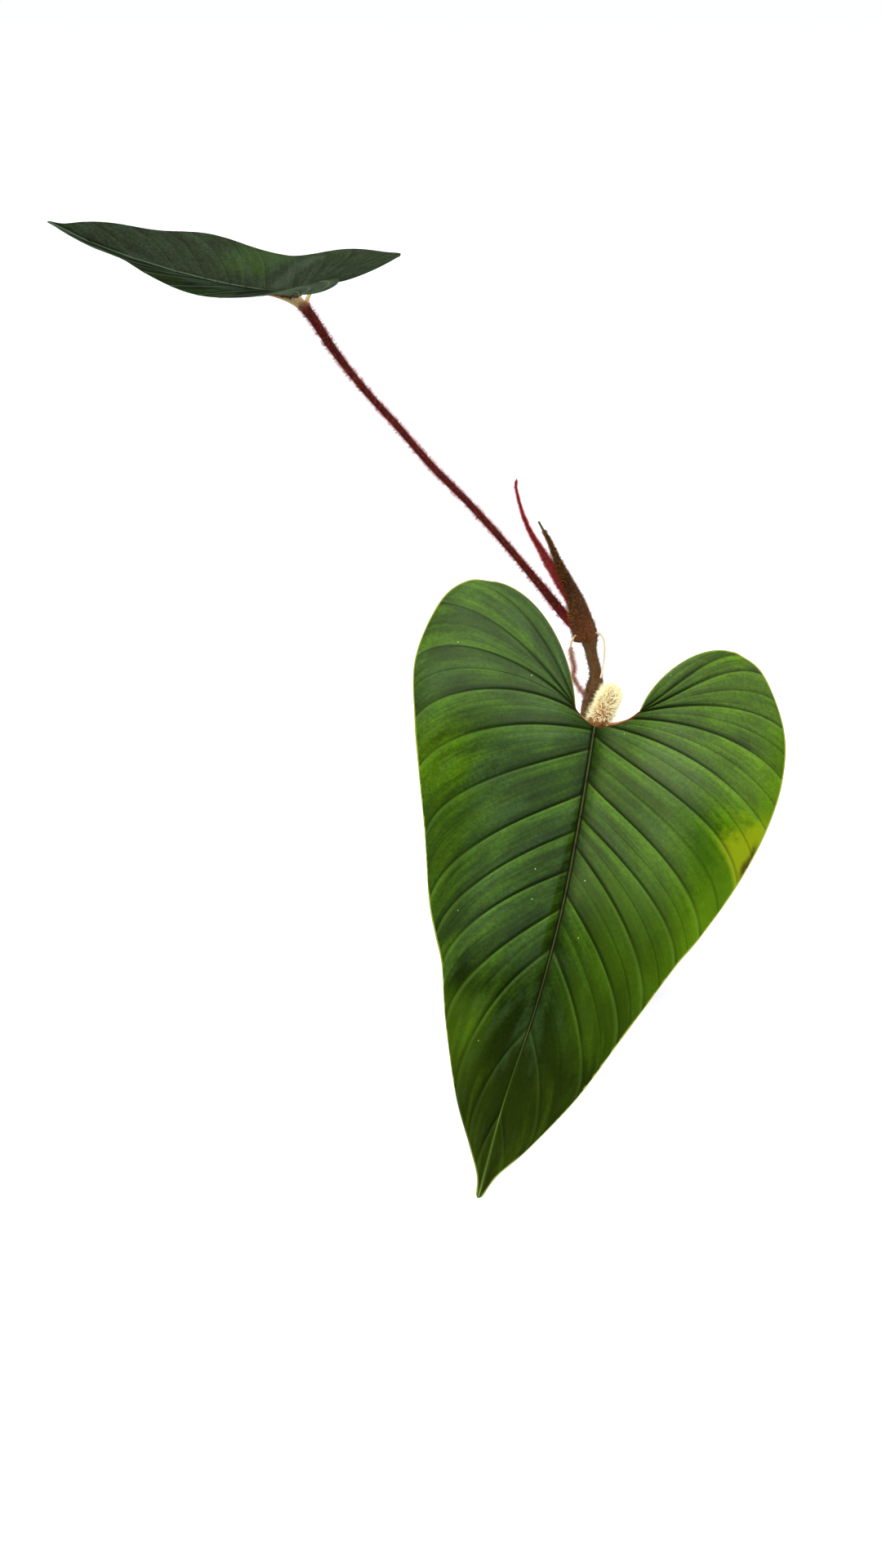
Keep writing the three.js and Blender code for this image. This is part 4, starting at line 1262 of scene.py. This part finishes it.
# Coats of hairs: their number, the shares of the limb they stand between, their length in millimetres
# at the limb's foot and end, half their thickness, how they lean and bend, their colours at the root,
# at the tip and for the odd ones, and where along a hair the root's colour turns into the tip's.
COATS = {
    "front_petiole_bristles": {
        "count": 2600, "span": (0.06, 0.97), "length": (2.2, 3.6), "thin": 0.12, "lean": 0.6, "bend": 0.3,
        "colours": ("#b88c4c", "#faf4c6", "#ece09c"), "turns": (0.02, 0.45),
    },
    "front_petiole_tuft": {
        "count": 2600, "span": (0.7, 0.985), "length": (2.8, 4.2), "thin": 0.12, "lean": 0.65, "bend": 0.3,
        "colours": ("#a8703c", "#fbf6cc", "#eedfa8"), "turns": (0.05, 0.5),
    },
    "far_petiole_bristles": {
        "count": 11000, "span": (0.03, 0.975), "length": (2.4, 2.5), "thin": 0.05, "lean": 0.4, "bend": 0.2,
        "colours": ("#2c0605", "#b41a16", "#b8602e"), "turns": (0.2, 0.75),
    },
    "stem_hairs": {
        "count": 5000, "span": (0.3, 1), "length": (2, 2.2), "thin": 0.055, "lean": 0.5, "bend": 0.25,
        "colours": ("#3c2816", "#86602e", "#b87a50"), "turns": (0.25, 1),
    },
    "new_leaf_hairs": {
        "count": 7500, "span": (0, 0.99), "length": (1.9, 1.2), "thin": 0.05, "lean": 0.35, "bend": 0.15,
        "colours": ("#6a141a", "#c41e26", "#d05a50"), "turns": (0.15, 0.8),
    },
    "cataphyll_hairs": {
        "count": 6000, "span": (0, 0.92), "length": (2.3, 1.3), "thin": 0.06, "lean": 0.55, "bend": 0.25,
        "colours": ("#221004", "#8a5222", "#b4803a"), "turns": (0.35, 1),
    },
    "left_root_hairs": {
        "count": 1400, "span": (0.3, 0.98), "length": (3, 3.2), "thin": 0.055, "lean": 0.7, "bend": 0.4,
        "colours": ("#8c5234", "#dcae9c", "#cf9a80"), "turns": (0.2, 0.9),
    },
}


def build_limb(spec, radius_at, rng, shape_at=None, excess=None, normal=None):
    """A limb with its skin and its coats of hairs, kept below a blade if excess and normal are given."""
    share = spec.get("core_share", 1)
    core = limb(spec["piece"], spec["points"], lambda u: radius_at(u) * share, *spec["grid"], shape_at)
    if excess:
        tuck(core, excess, normal)
    finished(core, (skin(**spec["skin"]),), spec["slot"], spec["node"])
    for coat in spec["coats"]:
        hair = limb_hairs(coat, spec["points"], radius_at, COATS[coat], rng, excess)
        finished(hair, (hair_finish(coat, COATS[coat]),), spec["slot"])


def build_petiole(petiole, blade, surfaces, rng):
    foot, middle, top = petiole["radii"]

    def radius_at(u):
        shaft = mix(foot, middle, smooth(u / PETIOLE_FLARE))
        return mix(shaft, top, smooth((u + PETIOLE_FLARE - 1) / PETIOLE_FLARE))

    excess, normal = under_blade(blade, surfaces)
    build_limb(petiole, radius_at, rng, None, excess, normal)


# Ribs that spread from a petiole's top below its blade: one along the midrib, which passes these
# roots in millimetres, and one along each half's sinus edge, which passes it at these shares. radii
# are those of a rib's foot and end, and foot and ends its colours there.
COSTA_SHARES = (0.35, 0.7, 1)
# Where a rib's second point lies on the way from the petiole's top to its first point at the blade
RIB_START = 0.65
RIB_TAPER = 0.8
RIB_GRID = (16, 40)
# Shares of a rib's length between which its foot's colour turns into its end's
RIB_TURNS = (0.3, 0.9)
CROWNS = [
    {
        "name": "front_leaf_rib", "blade": FRONT_BLADE, "petiole": FRONT_PETIOLE, "slot": "green_blade",
        "radii": {"midrib": (2.9, 0.3), "costa": (1.8, 0.4)}, "midrib_roots": (8, 22, 42),
        "foot": ("#a5784a", "#b08a58", "#bd9a68"), "ends": {"midrib": "#8a8450", "costa": "#8a5a3c"},
    },
    {
        "name": "far_leaf_rib", "blade": FAR_BLADE, "petiole": FAR_PETIOLE, "slot": "red_petiole",
        "radii": {"midrib": (2.2, 0.25), "costa": (1.8, 0.3)}, "midrib_roots": (6, 16, 34),
        "foot": ("#8f7d52", "#a08c62", "#b39f74"), "ends": {"midrib": "#7a3a26", "costa": "#8f7d52"},
    },
]


def build_crown(crown, surfaces):
    """The midrib's and the two costas' swollen feet, from the petiole's top along the lower face."""
    blade = crown["blade"]
    excess, normal = under_blade(blade, surfaces, room=0.1)
    top = np.array(crown["petiole"]["points"][-2])
    runs = [("midrib", "midrib", surfaces[0], crown["midrib_roots"])]
    for part in surfaces:
        half = part["half"]
        runs.append((half["name"], "costa", part, half["rows"][0][0] * np.array(COSTA_SHARES)))
    for name, kind, part, roots in runs:
        lines = [int(np.argmin(np.abs(part["roots"] - root))) for root in roots]
        ends = place_blade(blade, part["points"][lines, 0], part["bottom"][lines, 0]) / MM
        path = [top, mix(top, ends[0], RIB_START), *ends[1:]]
        radii = crown["radii"][kind]
        rib_name = f"{crown['name']}_{name}"
        rib = limb(rib_name, path, lambda u: mix(*radii, u ** RIB_TAPER), *RIB_GRID)
        tuck(rib, excess, normal)
        cover = skin(rib_name, crown["foot"], ends=[(*RIB_TURNS, crown["ends"][kind])])
        finished(rib, (cover,), crown["slot"])


def build_stem(rng):
    steps = STEM["grid"][1]
    heights = even_curve(STEM["points"], steps)[0][:, 2]
    low, high = heights[0], heights[-1]

    def radius_at(u):
        height = np.interp(u, np.linspace(0, 1, steps), heights)
        swell = sum(size * np.exp(-((height - place) / NODE_SPREAD) ** 2) for place, size in STEM_NODES)
        return mix(*STEM_RADII, (height - low) / (high - low)) + swell

    def ridged(u, angle):
        return 1 + sum(depth * np.sin(count * angle + twist * u) for depth, count, twist in STEM_RIDGES)

    build_limb(STEM, radius_at, rng, ridged)


def build_new_leaf(rng):
    """The rolled spear and the sheath round its foot."""
    def spear_radius(u):
        thinned = smooth((u - SPEAR_CORE_TURN) / SPEAR_CORE_TURN_LENGTH)
        return mix(*SPEAR_RADII, smooth(u)) * mix(*SPEAR_CORE_SHARES, thinned)

    def rolled(u, angle):
        return 1 - SPEAR_LAP * ((angle / (2 * math.pi) + SPEAR_TURNS * u) % 1)

    def sheath_radius(u):
        return mix(*SHEATH_RADII, smooth(u ** SHEATH_TAPER)) * SHEATH_CORE_SHARE

    def ribbed(u, angle):
        ribs = SHEATH_RIB_DEPTH * np.cos(SHEATH_RIBS * angle) * (1 - u)
        return 1 + ribs + SHEATH_FLATNESS * np.cos(2 * angle + SHEATH_FLAT_ANGLE)

    build_limb(SPEAR, spear_radius, rng, rolled)
    build_limb(SHEATH, sheath_radius, rng, ribbed)


def pot_radius(height):
    """Outer radius of the pot's wall at a height."""
    return mix(POT_FOOT_RADIUS, POT_TOP_RADIUS, height / POT_HEIGHT)


def lathe(name, profile, segments):
    """A closed solid turned about the vertical axis from (radius, height) points, axis to axis."""
    ring = profile[1:-1]
    angles = np.linspace(0, 2 * math.pi, segments, endpoint=False)
    verts = [(r * math.cos(a), r * math.sin(a), z) for r, z in ring for a in angles]
    verts += [(0, 0, profile[0][1]), (0, 0, profile[-1][1])]
    return make_mesh(name, np.array(verts) * MM, tube_faces(len(ring), segments), {}, smooth_angle=35)


def rounded(profile, radius=0.9, steps=4):
    """Profile with each inner corner cut back into a short arc."""
    points = [np.array(p, float) for p in profile]
    made = [tuple(points[0])]
    for before, here, after in zip(points, points[1:], points[2:]):
        ends = []
        for other in (before, after):
            gap = np.linalg.norm(other - here)
            ends.append(here + (other - here) / gap * min(radius, gap / 2.2))
        for t in np.linspace(0, 1, steps):
            made.append(tuple((1 - t) ** 2 * ends[0] + 2 * t * (1 - t) * here + t * t * ends[1]))
    return [*made, tuple(points[-1])]


def build_pot():
    rim_bottom = POT_HEIGHT - RIM_HEIGHT
    profile = rounded([
        (0, 0),
        (POT_FOOT_RADIUS - POT_EDGE, 0),
        (POT_FOOT_RADIUS, POT_EDGE),
        (pot_radius(rim_bottom), rim_bottom),
        (pot_radius(rim_bottom) + RIM_OVERHANG, rim_bottom + RIM_OVERHANG / 2),
        (POT_TOP_RADIUS + RIM_OVERHANG, POT_HEIGHT - POT_EDGE),
        (POT_TOP_RADIUS + RIM_OVERHANG - POT_EDGE, POT_HEIGHT),
        (POT_TOP_RADIUS - POT_WALL + POT_EDGE, POT_HEIGHT),
        (POT_TOP_RADIUS - POT_WALL, POT_HEIGHT - POT_EDGE),
        (pot_radius(POT_FLOOR) - POT_WALL, POT_FLOOR),
        (0, POT_FLOOR),
    ])
    body = lathe("pot_body", profile, POT_SEGMENTS)
    low, high = -POT_FLOOR, 2 * POT_FLOOR
    drill_profile = [(0, low), (DRAIN_RADIUS, low), (DRAIN_RADIUS, high), (0, high)]
    for i in range(DRAIN_COUNT):
        angle = 2 * math.pi * i / DRAIN_COUNT
        drill = lathe("drill", drill_profile, DRAIN_SEGMENTS)
        drill.location = Vector((math.cos(angle), math.sin(angle), 0)) * DRAIN_RING_RADIUS * MM
        cut = body.modifiers.new("drain", "BOOLEAN")
        cut.operation = "DIFFERENCE"
        cut.object = drill
        bpy.context.view_layer.objects.active = body
        bpy.ops.object.modifier_apply(modifier="drain")
        bpy.data.objects.remove(drill)
    finished(body, (pot_finish(),), "pot_clay", "pot")


def mix_height(x, y, reach):
    """Height of the potting mix at a place, with lumps that fade towards the wall."""
    inside = 1 - np.hypot(x, y) / reach
    lumps = sum(share * np.sin(x * wx + y * wy + shift) for share, wx, wy, shift in MIX_LUMP_WAVES)
    (ax, ay), (bx, by) = MIX_GRAIN_WAVES
    grain = MIX_GRAIN * np.sin(ax * x + ay * y) * np.sin(bx * x + by * y)
    return MIX_TOP + (MIX_LUMP * lumps + grain) * smooth(inside * MIX_EDGE_FADE)


CRUMBS = [
    {
        "name": "bark", "count": 260, "size": (2.2, 5.2), "shape": (1, 0.65, 0.35),
        "tones": ("#2c1a10", "#4a3020", "#6d4c34"),
    },
    {
        "name": "perlite", "count": 110, "size": (1, 2.6), "shape": (1, 0.9, 0.8),
        "tones": ("#c9c6bd", "#e4e2da", "#f2f1ec"),
    },
    {
        "name": "peat", "count": 420, "size": (0.8, 2.2), "shape": (1, 0.8, 0.7),
        "tones": ("#17100b", "#2b1e15", "#43301f"),
    },
]
CRUMB_LUMPS = 0.28
CRUMB_TILT = 0.5
CRUMB_RISE = 0.12


def crumb_piece(kind, reach, rng):
    """Small lumps strewn on the mix, each sunk into it by more than a third."""
    seed = bmesh.new()
    bmesh.ops.create_icosphere(seed, subdivisions=1, radius=1)
    ball = np.array([v.co for v in seed.verts])
    pattern = [tuple(v.index for v in f.verts) for f in seed.faces]
    seed.free()
    verts, faces = [], []
    for _ in range(kind["count"]):
        size = rng.uniform(*kind["size"])
        away = (reach - size) * math.sqrt(rng.uniform(0.002, 1))
        turn = rng.uniform(0, 2 * math.pi)
        x, y = away * math.cos(turn), away * math.sin(turn)
        lumps = 1 + rng.uniform(-CRUMB_LUMPS, CRUMB_LUMPS, len(ball))[:, None]
        lumpy = ball * lumps * np.array(kind["shape"]) * size / 2
        spin, tilt = rng.uniform(0, 2 * math.pi), rng.uniform(-CRUMB_TILT, CRUMB_TILT)
        c, s = math.cos(spin), math.sin(spin)
        about_z = np.array([[c, s, 0], [-s, c, 0], [0, 0, 1]])
        c, s = math.cos(tilt), math.sin(tilt)
        about_x = np.array([[1, 0, 0], [0, c, s], [0, -s, c]])
        height = mix_height(x, y, reach) + size * kind["shape"][2] * CRUMB_RISE
        first = len(verts) * len(ball)
        verts.append(lumpy @ about_x @ about_z + (x, y, height))
        faces += [tuple(i + first for i in face) for face in pattern]
    piece = make_mesh(f"mix_{kind['name']}", np.vstack(verts) * MM, faces, {}, smooth_angle=30)
    finished(piece, (grit_finish(f"grit_{kind['name']}", kind["tones"], 500, 0.0004),), "mix")


def build_mix(rng):
    reach = pot_radius(MIX_TOP) - POT_WALL - WALL_GAP
    rings, segments = MIX_GRID
    angles = np.linspace(0, 2 * math.pi, segments, endpoint=False)
    radii = np.linspace(reach, MIX_CENTRE, rings)[:, None]
    x, y = radii * np.cos(angles), radii * np.sin(angles)
    top = np.stack([x, y, mix_height(x, y, reach)], -1).reshape(-1, 3)
    foot = POT_FLOOR + WALL_GAP
    foot_reach = pot_radius(foot) - POT_WALL - WALL_GAP
    base = np.stack([foot_reach * np.cos(angles), foot_reach * np.sin(angles), np.full(segments, foot)], -1)
    verts = np.vstack([base, top])
    faces = [tuple(f) for f in grid_faces(rings + 1, segments, closed=True)]
    faces += [tuple(range(segments))[::-1], tuple(range(rings * segments, (rings + 1) * segments))]
    bed = make_mesh("mix_bed", verts * MM, faces, {}, smooth_angle=60)
    grit = grit_finish("mix_peat", ("#140d08", "#291c13", "#43301f"), 380, 0.0008)
    finished(bed, (grit,), "mix", "potting_mix")
    for kind in CRUMBS:
        crumb_piece(kind, reach, rng)


build_studio()
rng = np.random.default_rng(SEED)
front_surfaces = blade_surfaces(FRONT_BLADE)
far_surfaces = blade_surfaces(FAR_BLADE)
build_leaf("front", FRONT_BLADE, front_surfaces, FRONT_LOOK, "green_blade")
build_leaf("far", FAR_BLADE, far_surfaces, FAR_LOOK, "dark_blade")
build_petiole(FRONT_PETIOLE, FRONT_BLADE, front_surfaces, rng)
build_petiole(FAR_PETIOLE, FAR_BLADE, far_surfaces, rng)
for crown, surfaces in zip(CROWNS, (front_surfaces, far_surfaces)):
    build_crown(crown, surfaces)
build_stem(rng)
build_new_leaf(rng)
for root in ROOTS:
    build_limb(root, lambda u: ROOT_RADIUS * mix(1, ROOT_TAPER, u), rng)
build_pot()
build_mix(rng)
